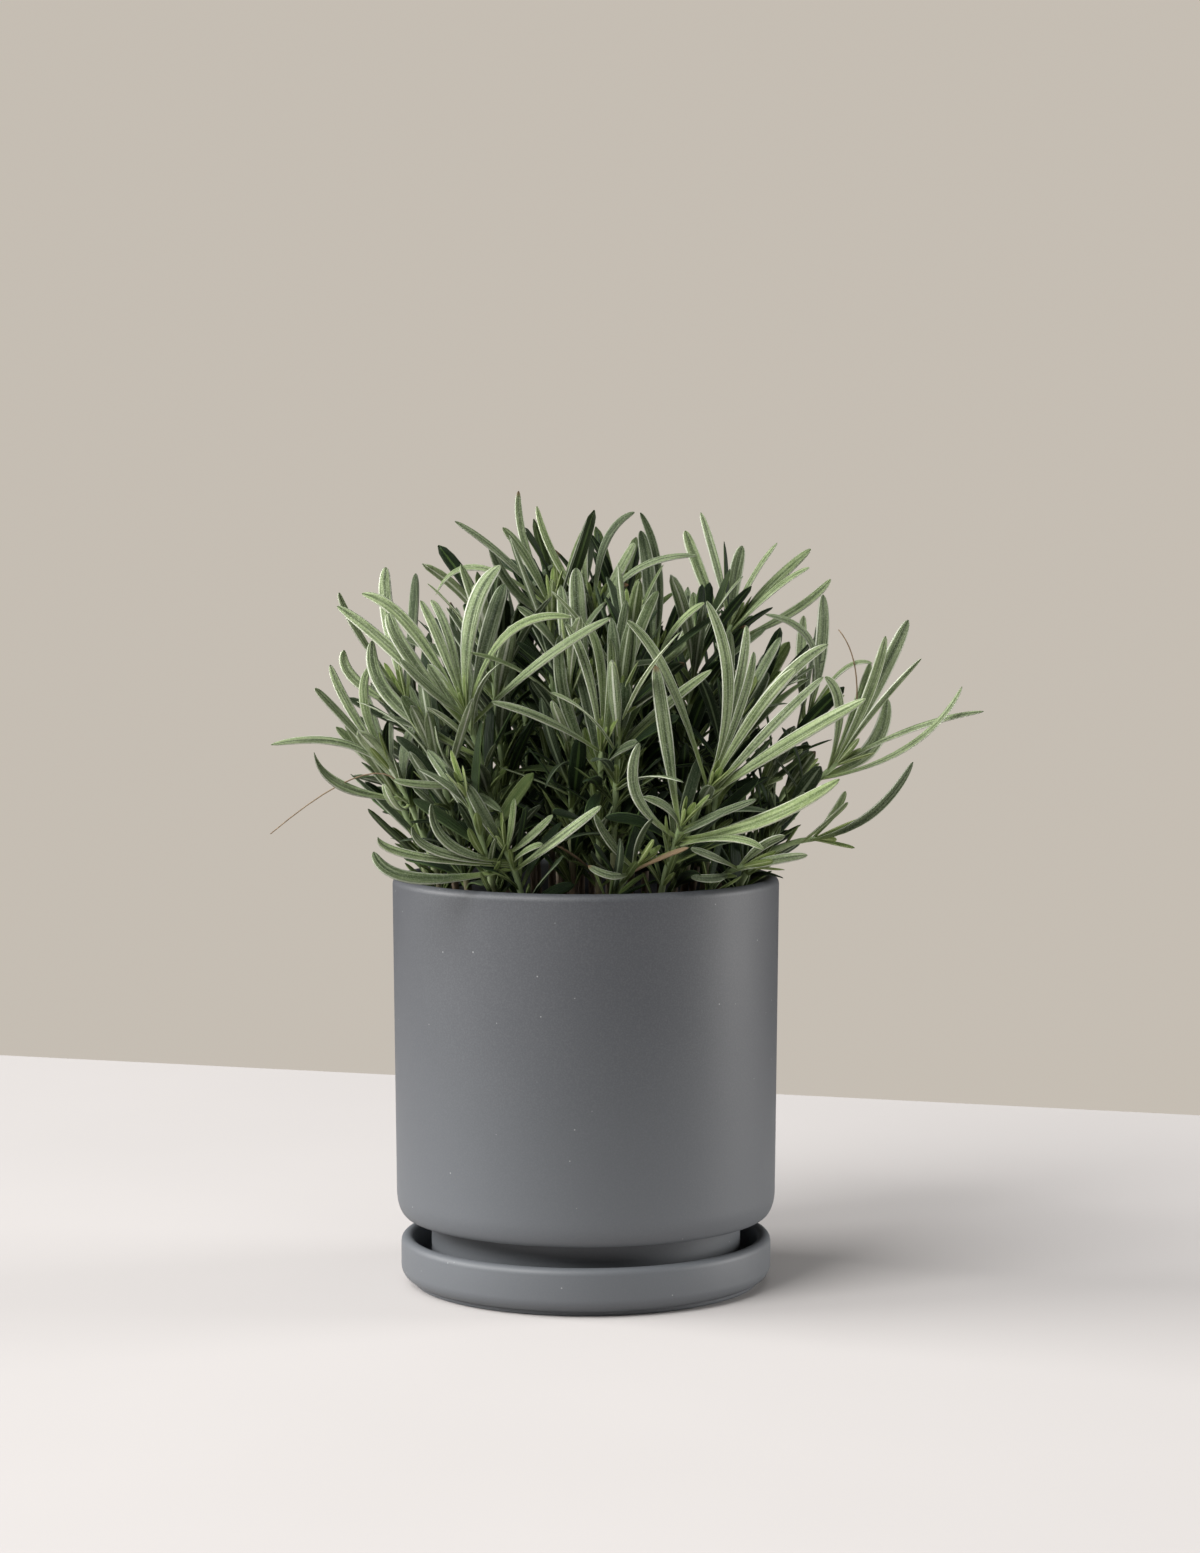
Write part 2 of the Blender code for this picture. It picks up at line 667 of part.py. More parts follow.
def turned(name, profile, closed, collection, finish):
    """A piece turned from its profile, which runs down the outer side from top to bottom."""
    edges = [(k, k + 1) for k in range(len(profile) - 1)]
    if closed:
        edges.append((len(profile) - 1, 0))
    mesh = bpy.data.meshes.new(name)
    mesh.from_pydata([(radius, 0.0, z) for radius, z in profile], edges, [])
    mesh.materials.append(finish)
    obj = bpy.data.objects.new(name, mesh)
    collection.objects.link(obj)
    screw = obj.modifiers.new("turn", "SCREW")
    screw.steps = TURN_STEPS
    screw.render_steps = TURN_STEPS
    screw.use_merge_vertices = True
    screw.merge_threshold = 0.01 * MM
    screw.use_smooth_shade = True
    return obj


def build_saucer(collection, finish):
    foot_r = SAUCER_R - SAUCER_FOOT_INSET
    small = SAUCER_INNER_CORNER
    large = SAUCER_CORNER
    inner_corner = rounded((SAUCER_R - SAUCER_WALL - small, SAUCER_BASE + small), small, small, 270, 360)
    outer_corner = rounded((SAUCER_R - large, SAUCER_FOOT_H + large), large, large, 0, -90)
    profile = [(0.0, SAUCER_BASE)] + inner_corner + lip(SAUCER_R, SAUCER_H, SAUCER_WALL)
    profile += [point for point in outer_corner if point[0] > foot_r]
    profile += [(foot_r, SAUCER_FOOT_H), (foot_r, 0.0), (0.0, 0.0)]
    return turned("saucer", profile, False, collection, finish)


def build_pot(collection, finish):
    inner_r = POT_R - POT_WALL
    foot_inner_r = POT_FOOT_R - POT_WALL
    floor = POT_Z + POT_BASE
    step = SHOULDER_Z + POT_WALL
    shoulder = rounded(
        (POT_R - POT_CORNER_OUT, SHOULDER_Z + POT_CORNER_UP), POT_CORNER_OUT, POT_CORNER_UP, 0, -90
    )
    profile = taper(lip(POT_R, RIM_Z, POT_WALL) + shoulder)
    profile += [(POT_FOOT_R, SHOULDER_Z), (POT_FOOT_R, POT_Z), (DRAIN_R, POT_Z), (DRAIN_R, floor)]
    profile += [(foot_inner_r, floor), (foot_inner_r, step)]
    profile += taper([(inner_r, step + POT_WALL)])
    return turned("pot", profile, True, collection, finish)


def build_soil(collection, finish):
    """It fills the pot, a gap away from the floor, the inner step and the wall."""
    inner_r = POT_R - POT_WALL - GAP
    foot_inner_r = POT_FOOT_R - POT_WALL - GAP
    floor = POT_Z + POT_BASE + GAP
    step = SHOULDER_Z + POT_WALL + GAP
    profile = [(0.0, SOIL_Z)] + taper([(inner_r, SOIL_Z), (inner_r, step + POT_WALL)])
    profile += [(foot_inner_r, step), (foot_inner_r, floor), (0.0, floor)]
    return turned("potting_soil", profile, False, collection, finish)


def build_stem(name, line, collection, finish):
    """A square stem, as lavender has, made from a bevelled curve that narrows to its tip."""
    curve = bpy.data.curves.new(name, "CURVE")
    curve.dimensions = "3D"
    curve.bevel_depth = STEM_R
    curve.bevel_resolution = 0
    curve.use_fill_caps = True
    spline = curve.splines.new("POLY")
    spline.points.add(STEM_RINGS - 1)
    for ring, point in enumerate(spline.points):
        s = ring / (STEM_RINGS - 1)
        point.co = (*bezier(line, s), 1.0)
        point.radius = 1 + (STEM_TIP_R / STEM_R - 1) * s
    tube = bpy.data.objects.new(name, curve)
    collection.objects.link(tube)
    bpy.context.view_layer.update()
    graph = bpy.context.evaluated_depsgraph_get()
    mesh = bpy.data.meshes.new_from_object(tube.evaluated_get(graph))
    bpy.data.objects.remove(tube, do_unlink=True)
    shape = bmesh.new()
    shape.from_mesh(mesh)
    bmesh.ops.remove_doubles(shape, verts=shape.verts, dist=0.01 * MM)
    shape.to_mesh(mesh)
    shape.free()
    mesh.materials.clear()
    mesh.materials.append(finish)
    stem = bpy.data.objects.new(name, mesh)
    collection.objects.link(stem)
    return stem


def build_blade(leaf, collection):
    """One leaf by itself, to be joined to its stem."""
    points, faces = leaf.shape()
    mesh = bpy.data.meshes.new("leaf")
    mesh.from_pydata([tuple(point) for point in points], [], faces)
    blade = bpy.data.objects.new("leaf", mesh)
    blade.hide_render = True
    blade.display_type = "WIRE"
    collection.objects.link(blade)


def fill_pockets(mesh):
    """Keeps the outer skin only, so that a pocket shut in between the bases of leaves is solid."""
    shape = bmesh.new()
    shape.from_mesh(mesh)
    skins = []
    left = set(shape.faces)
    while left:
        skin = []
        waiting = [left.pop()]
        while waiting:
            face = waiting.pop()
            skin.append(face)
            for edge in face.edges:
                for other in edge.link_faces:
                    if other in left:
                        left.remove(other)
                        waiting.append(other)
        skins.append(skin)
    skins.sort(key=len)
    inner = [face for skin in skins[:-1] for face in skin]
    bmesh.ops.delete(shape, geom=inner, context="FACES")
    shape.to_mesh(mesh)
    shape.free()


def build_shoot(name, line, leaves, collection, cutters, finish):
    """A stem with its leaves grown onto it, as one solid.

    Many leaves cross at their bases, where the exact solver leaves open edges, so this join is MANIFOLD.
    """
    stem = build_stem("shoot_" + name, line, collection, finish)
    for leaf in leaves:
        build_blade(leaf, cutters)
    join = stem.modifiers.new("leaves", "BOOLEAN")
    join.operation = "UNION"
    join.solver = "MANIFOLD"
    join.operand_type = "COLLECTION"
    join.collection = cutters
    bpy.context.view_layer.update()
    graph = bpy.context.evaluated_depsgraph_get()
    grown = bpy.data.meshes.new_from_object(stem.evaluated_get(graph))
    stem.modifiers.clear()
    for blade in list(cutters.objects):
        bpy.data.objects.remove(blade, do_unlink=True)
    fill_pockets(grown)
    stem.data = grown
    return stem


def main():
    clear_scene()
    collection = new_collection("potted_lavender")
    cutters = new_collection("leaves_to_join")
    cutters.hide_render = True
    glaze = material("matte_grey_glaze", (0.115, 0.125, 0.140), 0.62)
    soil = material("dark_potting_soil", (0.022, 0.015, 0.010), 0.95)
    foliage = material("grey_green_leaf", (0.130, 0.200, 0.105), 0.60)
    build_saucer(collection, glaze)
    build_pot(collection, glaze)
    build_soil(collection, soil)
    stems, leaves = grow()
    for name, line in stems.items():
        own = [leaf for leaf in leaves if leaf.shoot == name]
        build_shoot(name, line, own, collection, cutters, foliage)


if __name__ == "__main__":
    main()
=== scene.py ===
"""Potted lavender: glazed pot and saucer, potting mix and foliage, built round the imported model.

Metres, +Z up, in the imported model's own frame. The leaves grow by the same rules as the model's plain ones,
so each shoot's fine leaves stand where its solid is. More leaves then fill the shoots out.
"""

import math
import random

import bpy
import numpy as np
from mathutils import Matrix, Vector
from mathutils.bvhtree import BVHTree


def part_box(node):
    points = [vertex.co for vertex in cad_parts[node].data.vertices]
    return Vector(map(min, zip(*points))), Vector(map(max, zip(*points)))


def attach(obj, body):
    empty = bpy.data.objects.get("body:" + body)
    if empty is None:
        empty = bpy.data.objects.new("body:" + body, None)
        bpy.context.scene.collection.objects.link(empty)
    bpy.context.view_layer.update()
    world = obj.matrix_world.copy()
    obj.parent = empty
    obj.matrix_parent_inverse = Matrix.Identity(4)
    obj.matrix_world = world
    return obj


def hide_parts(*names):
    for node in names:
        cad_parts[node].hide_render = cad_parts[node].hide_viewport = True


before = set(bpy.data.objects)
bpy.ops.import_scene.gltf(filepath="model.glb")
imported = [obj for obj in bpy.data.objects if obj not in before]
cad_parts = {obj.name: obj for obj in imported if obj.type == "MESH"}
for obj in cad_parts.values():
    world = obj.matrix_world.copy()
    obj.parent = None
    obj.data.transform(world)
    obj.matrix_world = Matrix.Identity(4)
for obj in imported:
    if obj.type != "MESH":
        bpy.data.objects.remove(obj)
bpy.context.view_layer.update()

MM = 0.001

# ---- Sizes of the pot, the saucer and the plant ------------------------------------------------------

GAP = 0.3 * MM               # between pieces that rest on one another
POT_R = round(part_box("pot")[1].x, 5)
RIM_Z = round(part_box("pot")[1].z, 5)
POT_Z = round(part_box("pot")[0].z, 5)
POT_WALL = 4.8 * MM
POT_TAPER = 0.0103           # how much the radius shrinks for each unit of height below the rim
POT_BASE = 6.0 * MM          # thickness of the pot's floor
POT_FOOT_INSET = 12.5 * MM   # how far the foot stands back below the body
POT_CORNER_OUT = 3.5 * MM    # rounding between body and foot: across
POT_CORNER_UP = 8.0 * MM     # and upwards
DRAIN_R = 6.0 * MM
SAUCER_R = round(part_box("saucer")[1].x, 5)
SAUCER_H = round(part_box("saucer")[1].z, 5)
SAUCER_WALL = 4.4 * MM
SAUCER_BASE = POT_Z - GAP
SAUCER_CORNER = 4.5 * MM
SAUCER_INNER_CORNER = 2.2 * MM
SAUCER_FOOT_INSET = 4.0 * MM
SAUCER_FOOT_H = 1.5 * MM
SHADOW_GAP = 6.7 * MM        # between the saucer's rim and the pot's body above it
SHOULDER_Z = SAUCER_H + SHADOW_GAP
POT_FOOT_R = POT_R - POT_FOOT_INSET
SOIL_Z = round(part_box("potting_soil")[1].z, 5)

CROWN_R = 80.0 * MM          # how far the leafy mass reaches from the middle
CROWN_H = 125.0 * MM         # from the soil to the top of the mass
STEM_R = 1.15 * MM           # of a stem at the soil
STEM_TIP_R = 0.8 * MM        # and at its tip
LEAF_LENGTH = 43.0 * MM      # of a full-grown leaf
LEAF_WIDTH = 4.4 * MM
LEAF_THICK = 1.1 * MM
CLEAR = 0.35 * MM            # kept between one shoot and the next, the pot or the soil


def tapered(radius, z):
    """What a radius at the rim has shrunk to at a height below it."""
    return radius - POT_TAPER * (RIM_Z - z)


SOIL_R = tapered(POT_R - POT_WALL - GAP, SOIL_Z)

# ---- Shoots and leaves listed one by one -------------------------------------------------------------
# In millimetres, from the middle of the soil's surface, for the crown and soil that they were placed at.

PLACED_CROWN_R = 80.0
PLACED_CROWN_H = 125.0
PLACED_SOIL_R = 58.0
PLACED_LEAF_WIDTH = 4.5

# name: root (x, y), tip of the stem (x, y, z)
PLACED_SHOOTS = {
    "front_left": ((-24, -24), (-38, -40, 70)),
    "left_reach": ((-45, -12), (-62, -24, 50)),
    "low_left": ((-18, -42), (-25, -52, 27)),
    "front_middle": ((4, -28), (5, -46, 58)),
    "front_right": ((26, -25), (39, -44, 46)),
    "low_right": ((22, -44), (30, -56, 35)),
    "right_reach": ((45, -8), (82, -12, 52)),
    "right_edge": ((47, -23), (74, -22, 28)),
    "right_top": ((24, 8), (48, 10, 96)),
    "right_middle": ((34, 14), (56, 8, 72)),
    "right_back": ((41, 8), (74, 2, 67)),
    "centre_top": ((2, 4), (3, 2, 100)),
    "centre_left_top": ((-11, -6), (-11, -6, 103)),
    "left_upper": ((-37, 0), (-59, -4, 72)),
    "centre_front": ((-4, -14), (1, -24, 76)),
    "right_centre": ((14, -6), (22, -14, 84)),
    "low_middle": ((4, -47), (16, -54, 22)),
    "rim_right": ((36, -36), (50, -42, 21)),
}

# shoot: leaves, each as the distance below the tip where it grows, a point that it passes through
# halfway, its tip, and its width
PLACED_LEAVES = {
    "front_left": (
        (2, (-48, -48, 77), (-58, -52, 87), 4.6),
        (8, (-55, -44, 87), (-62, -40, 101), 5.0),
        (30, (-42, -50, 53), (-47, -54, 66), 5.0),
        (1, (-45, -42, 90), (-52, -40, 105), 3.4),
        (1, (-43, -38, 93), (-49, -34, 105), 3.2),
        (2, (-36, -40, 99), (-27, -34, 116), 6.0),
        (5, (-31, -36, 93), (-26, -26, 110), 6.0),
        (3, (-25, -46, 94), (-4, -54, 100), 3.6),
        (4, (-55, -36, 96), (-71, -32, 107), 4.4),
        (9, (-60, -36, 88), (-79, -30, 103), 4.4),
        (6, (-14, -52, 86), (8, -60, 100), 4.0),
        (18, (-61, -34, 73), (-68, -28, 92), 5.0),
        (28, (-49, -46, 47), (-60, -50, 49), 3.6),
    ),
    "left_reach": (
        (1, (-75, -24, 69), (-82, -22, 84), 3.2),
        (2, (-77, -30, 67), (-86, -34, 77), 3.2),
        (3, (-77, -28, 59), (-100, -34, 59), 3.4),
        (2, (-71, -16, 69), (-70, -12, 83), 3.4),
        (12, (-78, -32, 46), (-86, -40, 57), 5.6),
        (14, (-60, -34, 39), (-64, -40, 47), 4.0),
    ),
    "low_left": (
        (1, (-32, -58, 38), (-38, -60, 48), 4.2),
        (1, (-23, -60, 35), (-22, -62, 44), 3.0),
        (2, (-17, -60, 32), (-10, -64, 39), 3.4),
        (5, (-42, -56, 29), (-48, -58, 42), 3.8),
        (6, (-46, -52, 27), (-54, -52, 35), 3.6),
        (7, (-55, -56, 26), (-66, -58, 32), 3.4),
        (8, (-53, -60, 19), (-66, -58, 27), 4.6),
        (6, (-18, -62, 28), (-13, -66, 30), 2.8),
        (9, (-9, -62, 31), (5, -66, 42), 3.8),
    ),
    "front_middle": (
        (1, (-12, -56, 68), (-29, -62, 74), 3.4),
        (1, (1, -50, 82), (-6, -52, 98), 3.4),
        (2, (5, -48, 84), (0, -46, 98), 3.2),
        (2, (8, -52, 77), (8, -54, 93), 3.2),
        (3, (15, -44, 90), (23, -38, 108), 4.0),
        (2, (10, -42, 88), (13, -38, 105), 3.2),
        (10, (-6, -44, 72), (-8, -40, 94), 4.4),
        (4, (21, -50, 77), (41, -54, 88), 3.6),
        (8, (22, -46, 69), (40, -44, 83), 3.8),
    ),
    "front_right": (
        (1, (26, -52, 81), (13, -54, 99), 3.8),
        (3, (45, -46, 77), (38, -48, 105), 4.2),
        (2, (48, -42, 77), (51, -38, 97), 3.4),
        (2, (49, -46, 72), (53, -46, 89), 3.0),
        (4, (58, -42, 75), (77, -36, 91), 4.2),
        (4, (53, -48, 69), (66, -50, 84), 3.8),
        (5, (62, -54, 60), (87, -62, 75), 5.0),
        (8, (56, -50, 63), (75, -44, 81), 3.4),
    ),
    "low_right": (
        (2, (25, -56, 64), (22, -54, 85), 5.0),
        (2, (26, -66, 41), (18, -70, 45), 3.6),
        (6, (54, -64, 37), (79, -62, 50), 5.2),
        (2, (41, -62, 39), (53, -66, 44), 3.2),
        (4, (36, -64, 36), (43, -68, 40), 2.6),
        (5, (16, -60, 45), (17, -58, 61), 4.2),
        (9, (44, -66, 32), (55, -72, 29), 3.0),
    ),
    "right_reach": (
        (3, (94, -10, 76), (105, -6, 98), 5.6),
        (2, (91, -14, 73), (97, -14, 93), 4.4),
        (1, (93, -18, 69), (108, -20, 86), 2.6),
        (4, (88, -6, 69), (93, -2, 84), 3.6),
        (2, (105, -18, 63), (128, -22, 69), 3.0),
        (8, (104, -24, 58), (121, -22, 77), 3.6),
        (6, (93, -4, 56), (99, 2, 72), 5.4),
        (5, (82, -16, 69), (77, -20, 80), 4.6),
    ),
    "right_edge": (
        (2, (91, -28, 36), (105, -26, 53), 3.6),
        (1, (80, -20, 36), (84, -18, 43), 3.0),
        (4, (79, -32, 36), (83, -38, 41), 3.0),
    ),
    "right_top": (
        (1, (43, 12, 116), (38, 16, 133), 3.6),
        (3, (49, 18, 109), (52, 22, 122), 5.0),
        (1, (54, 8, 110), (63, 8, 123), 2.8),
        (3, (60, 10, 108), (74, 8, 121), 5.0),
        (5, (61, 2, 107), (73, -2, 115), 3.4),
        (8, (68, 14, 100), (81, 14, 111), 4.0),
        (6, (38, 18, 113), (33, 22, 127), 5.0),
    ),
    "right_back": (
        (2, (77, 2, 87), (78, 6, 106), 5.2),
        (4, (74, -8, 89), (58, -14, 100), 3.4),
        (3, (83, -6, 81), (93, -10, 84), 2.8),
        (4, (71, 8, 83), (72, 12, 99), 4.4),
    ),
    "centre_top": (
        (1, (6, 4, 122), (16, 2, 133), 3.4),
        (2, (10, 0, 112), (16, -2, 123), 5.0),
        (3, (16, -8, 114), (36, -12, 119), 3.6),
        (1, (-1, 6, 117), (3, 8, 131), 3.4),
        (2, (-10, 0, 118), (-16, 2, 135), 3.2),
    ),
    "centre_left_top": (
        (2, (-26, -14, 118), (-42, -18, 130), 3.6),
        (1, (-20, 2, 123), (-22, 4, 140), 3.0),
        (3, (-18, -4, 116), (-27, -6, 128), 4.4),
        (6, (-24, -10, 109), (-31, -12, 123), 5.0),
        (2, (-35, -2, 115), (-49, 0, 106), 3.2),
    ),
    "left_upper": (
        (2, (-74, -8, 94), (-80, -10, 107), 3.8),
        (6, (-75, -2, 78), (-79, 0, 88), 4.2),
        (4, (-65, 8, 97), (-66, 12, 115), 5.0),
        (2, (-57, 4, 95), (-56, 8, 113), 4.0),
    ),
    "centre_front": (
        (2, (-2, -20, 97), (-3, -16, 115), 6.0),
    ),
    "right_centre": (
        (2, (29, -22, 96), (38, -28, 104), 4.0),
        (3, (33, -8, 93), (35, -4, 107), 5.0),
        (5, (21, 4, 108), (18, 10, 127), 5.0),
        (4, (24, 10, 111), (18, 16, 133), 3.2),
    ),
    "low_middle": (
        (1, (8, -60, 30), (3, -62, 39), 3.4),
        (3, (8, -62, 20), (1, -62, 23), 3.0),
        (2, (17, -60, 31), (21, -64, 38), 3.0),
        (3, (25, -62, 26), (32, -68, 29), 3.0),
    ),
    "rim_right": (
        (2, (40, -52, 25), (33, -58, 28), 2.8),
        (2, (55, -44, 27), (63, -46, 31), 3.2),
        (4, (58, -46, 23), (70, -48, 25), 3.4),
        (5, (41, -50, 18), (33, -58, 19), 3.0),
    ),
}

# ---- How the plant grows -----------------------------------------------------------------------------

SEED = 11
STEM_RINGS = 4                # points along a stem
SQUARE_CORNERS = 1.2          # reach of a square tube that is turned any way round a stem
WALL_SIDES = 64
STEM_AXIS = Vector((1.0, 0.3, 0.0))   # leaves and corners of a stem are counted from here

SPIRAL_SPOTS = 44             # spots over the soil, before those near a listed shoot are passed over
GOLDEN_TURN = math.pi * (3 - math.sqrt(5))
NEAREST_ROOT = 8.0            # between a spot and a listed shoot, in millimetres as they were placed
NEAREST_TIP = 13.0
ROOT_REACH = 0.9              # of the outermost root, as a share of the soil's radius
TIP_REACH = (0.78, 0.12)      # how far tips lean out, in crowns: in the middle, and added further out
DOME_TOP = 0.86               # height of the middle tips, as a share of the crown's
DOME_FALL = 0.54              # how much lower the outermost ones are
DOME_CURVE = 2.3
STEM_PULLS = (1.0, 0.94, 0.88, 0.8, 0.7)     # roots move in, bends move and roots turn until it is clear
STEM_LEANS = (0.35, 0.25, 0.45, 0.15, 0.05)
STEM_TURNS = (0.0, 0.12, -0.12, 0.25, -0.25)
STEM_RISE = 0.96

PLACED_STATIONS = ((0.0, 0.30), (0.4, 0.92), (0.8, 0.90))   # along the leaf, share of its width
RULED_STATIONS = ((0.0, 0.35), (0.58, 1.0))                 # the many leaves that grow by rule are plainer
SECTION = ((1, 0), (0, 1), (-1, 0), (0, -1))                # sideways and up, in halves
OUTER_PART = 0.3              # leaves of one shoot may touch nearer to the stem than this
SHOWN_SIDE = Vector((0.0, -1.5, 0.5))        # listed leaves turn their flat side to the front
LOWEST_BASE = 0.05            # of a leaf on its stem, as a share of the stem
PLACED_SHIFTS = (0, 2, -2, 4, -4, 6, -6, 9, -9)   # tries to the back and front, in millimetres
PLACED_SIDE_SHIFTS = (0, 1.5, -1.5)

PAIR_SIZES = (0.75, 1.0, 1.0, 0.75, 0.55)    # share of a full leaf's length, from the tip of a shoot down
PLACED_SHOOTS_FIRST_PAIR = 3                 # the pairs above it are the listed leaves
FIRST_PAIR_BELOW = 1.5 * MM                  # from the tip of the stem
PAIR_STEP = (4.0 * MM, 11.0 * MM)            # down to the next pair: at the tip, and added at the foot
PAIR_OPENING = (12.0, 38.0)                  # degrees from the stem: at the tip, and added at the foot
FULL_HEIGHT = 110 * MM                       # shoots shorter than this have shorter leaves
SHORTEST_LEAVES = 0.45
LOWEST_PAIR = 0.08
LEAF_TRIES = 14
LOOSE = (0.12, 0.11)                         # spread of a leaf's turn: at the first try, and more each time
LOOSE_OPENING = 0.4                          # the same for its opening, as a share of that
OPENING_SHARES = (0.75, 1.3)                 # least and most of what the rule gives a leaf
LENGTH_SHARES = (0.85, 1.12)
WIDTH_SHARES = (0.78, 1.2)
SHORTER = 0.03                               # and how much shorter each try is
BEND = (16, 16)                              # degrees that a leaf bends outwards: mean and spread
TWIST = 0.5
DROOP = 0.16
OUTLINE = (0.8, 0.45)                        # reach of tips, in crowns: at the soil, and added at the top


def placed(x, y, z):
    """A listed point in metres, stretched with the crown."""
    stretch = CROWN_R / PLACED_CROWN_R
    return Vector((x * stretch, y * stretch, SOIL_Z + z * CROWN_H / PLACED_CROWN_H))


def placed_root(x, y):
    """Where a stem starts. Its foot may slant, so it starts its own radius above the soil."""
    stretch = SOIL_R / PLACED_SOIL_R
    return Vector((x * stretch, y * stretch, SOIL_Z + GAP + STEM_R))


def bezier(line, s):
    a, b, c = line
    return a * (1 - s) ** 2 + b * (2 * s * (1 - s)) + c * s ** 2


def bezier_way(line, s):
    a, b, c = line
    return ((b - a) * (1 - s) + (c - b) * s).normalized()


def on_stem(line, s):
    """A point on the stem as it is built, in straight pieces between its rings."""
    pieces = STEM_RINGS - 1
    piece = min(int(s * pieces), pieces - 1)
    low = bezier(line, piece / pieces)
    return low.lerp(bezier(line, (piece + 1) / pieces), s * pieces - piece)


def square_to(way, towards):
    """The direction nearest to towards that is at right angles to way."""
    return (towards - way * towards.dot(way)).normalized()


class Leaf:
    """One leaf: a curved midrib, the way that its upper face looks, a width and a twist."""

    def __init__(self, shoot, line, face, width, stations, twist=0.0):
        self.shoot = shoot
        self.line = line
        self.width = width
        self.stations = stations
        self.twist = twist
        way = bezier_way(line, 0.5)
        self.side = way.cross(square_to(way, face))

    def frame(self, s):
        """The midrib's point at s, with the blade's sideways and upward directions there."""
        way = bezier_way(self.line, s)
        side = square_to(way, self.side)
        up = side.cross(way)
        turn = self.twist * s
        return (
            bezier(self.line, s),
            side * math.cos(turn) + up * math.sin(turn),
            up * math.cos(turn) - side * math.sin(turn),
        )

    def shape(self, grown=0.0, start=0.0):
        """Points and faces of the plain blade: equal sections that close to a point at the tip.

        A twisted blade has no flat four-sided faces, so its sides are triangles.
        """
        corners = len(SECTION)
        points = []
        faces = [tuple(range(corners))]
        for s, share in self.stations:
            centre, side, up = self.frame(max(s, start))
            half = self.width / 2 * share + grown
            thick = LEAF_THICK / 2 + grown
            points += [centre + side * (half * x) + up * (thick * y) for x, y in SECTION]
        points.append(self.line[2] + bezier_way(self.line, 1.0) * grown)
        tip = len(points) - 1
        for ring in range(0, tip - corners, corners):
            for k in range(corners):
                after = (k + 1) % corners
                faces.append((ring + k, ring + corners + k, ring + corners + after))
                faces.append((ring + k, ring + corners + after, ring + after))
        for k in range(corners):
            faces.append((tip - corners + k, tip, tip - corners + (k + 1) % corners))
        return points, faces


def stem_shape(line, grown):
    """A plain square tube round a stem, to keep other things clear of it."""
    points = []
    for ring in range(STEM_RINGS):
        s = ring / (STEM_RINGS - 1)
        way = bezier_way(line, s)
        a = square_to(way, STEM_AXIS)
        b = way.cross(a)
        r = (STEM_R + (STEM_TIP_R - STEM_R) * s + grown) * SQUARE_CORNERS
        points += [bezier(line, s) + (a * x + b * y) * r for x, y in SECTION]
    corners = len(SECTION)
    last = corners * (STEM_RINGS - 1)
    faces = [(3, 2, 1, 0), (last, last + 1, last + 2, last + 3)]
    for ring in range(0, last, corners):
        for k in range(corners):
            after = (k + 1) % corners
            faces.append((ring + k, ring + after, ring + corners + after, ring + corners + k))
    return points, faces


def ring_shape(low_r, low, high_r, high):
    """An open ring of faces between two circles, for the sides and the top of the pot's wall."""
    points = []
    for radius, z in ((low_r, low), (high_r, high)):
        for k in range(WALL_SIDES):
            turn = 2 * math.pi * k / WALL_SIDES
            points.append(Vector((radius * math.cos(turn), radius * math.sin(turn), z)))
    faces = []
    for k in range(WALL_SIDES):
        after = (k + 1) % WALL_SIDES
        faces.append((k, after, WALL_SIDES + after, WALL_SIDES + k))
    return points, faces


class Room:
    """What has grown so far, and whether a new stem or leaf is clear of it."""

    def __init__(self):
        self.owners = []
        self.trees = []
        self.outer_trees = []
        self.boxes = []
        inner_r = POT_R - POT_WALL - CLEAR
        outer_r = POT_R + CLEAR
        top = RIM_Z + CLEAR
        self.add("pot", ring_shape(inner_r, SOIL_Z, inner_r, top))
        self.add("pot", ring_shape(outer_r, SOIL_Z, outer_r, top))
        self.add("pot", ring_shape(inner_r, top, outer_r, top))

    def add(self, owner, shape, outer_shape=None):
        points = np.array([tuple(point) for point in shape[0]])
        self.owners.append(owner)
        self.trees.append(BVHTree.FromPolygons(*shape))
        self.outer_trees.append(BVHTree.FromPolygons(*outer_shape) if outer_shape else None)
        self.boxes.append((*points.min(0), *points.max(0)))

    def add_leaf(self, leaf):
        self.add(leaf.shoot, leaf.shape(), leaf.shape(0.0, OUTER_PART))

    def near(self, points):
        """Numbers of the things whose boxes meet the box of these points."""
        points = np.array([tuple(point) for point in points])
        boxes = np.array(self.boxes)
        meets = (boxes[:, :3] < points.max(0)) & (boxes[:, 3:] > points.min(0))
        return np.nonzero(meets.all(1))[0]

    def stem_is_clear(self, line):
        shape = stem_shape(line, CLEAR)
        tree = BVHTree.FromPolygons(*shape)
        return not any(tree.overlap(self.trees[i]) for i in self.near(shape[0]))

    def leaf_is_clear(self, leaf):
        shape = leaf.shape(CLEAR)
        whole = BVHTree.FromPolygons(*shape)
        outer = BVHTree.FromPolygons(*leaf.shape(0.0, OUTER_PART))
        for i in self.near(shape[0]):
            if self.owners[i] != leaf.shoot:
                if whole.overlap(self.trees[i]):
                    return False
            elif self.outer_trees[i] is not None and outer.overlap(self.outer_trees[i]):
                return False
        lowest = min(point.z for point in shape[0])
        return lowest > SOIL_Z + CLEAR


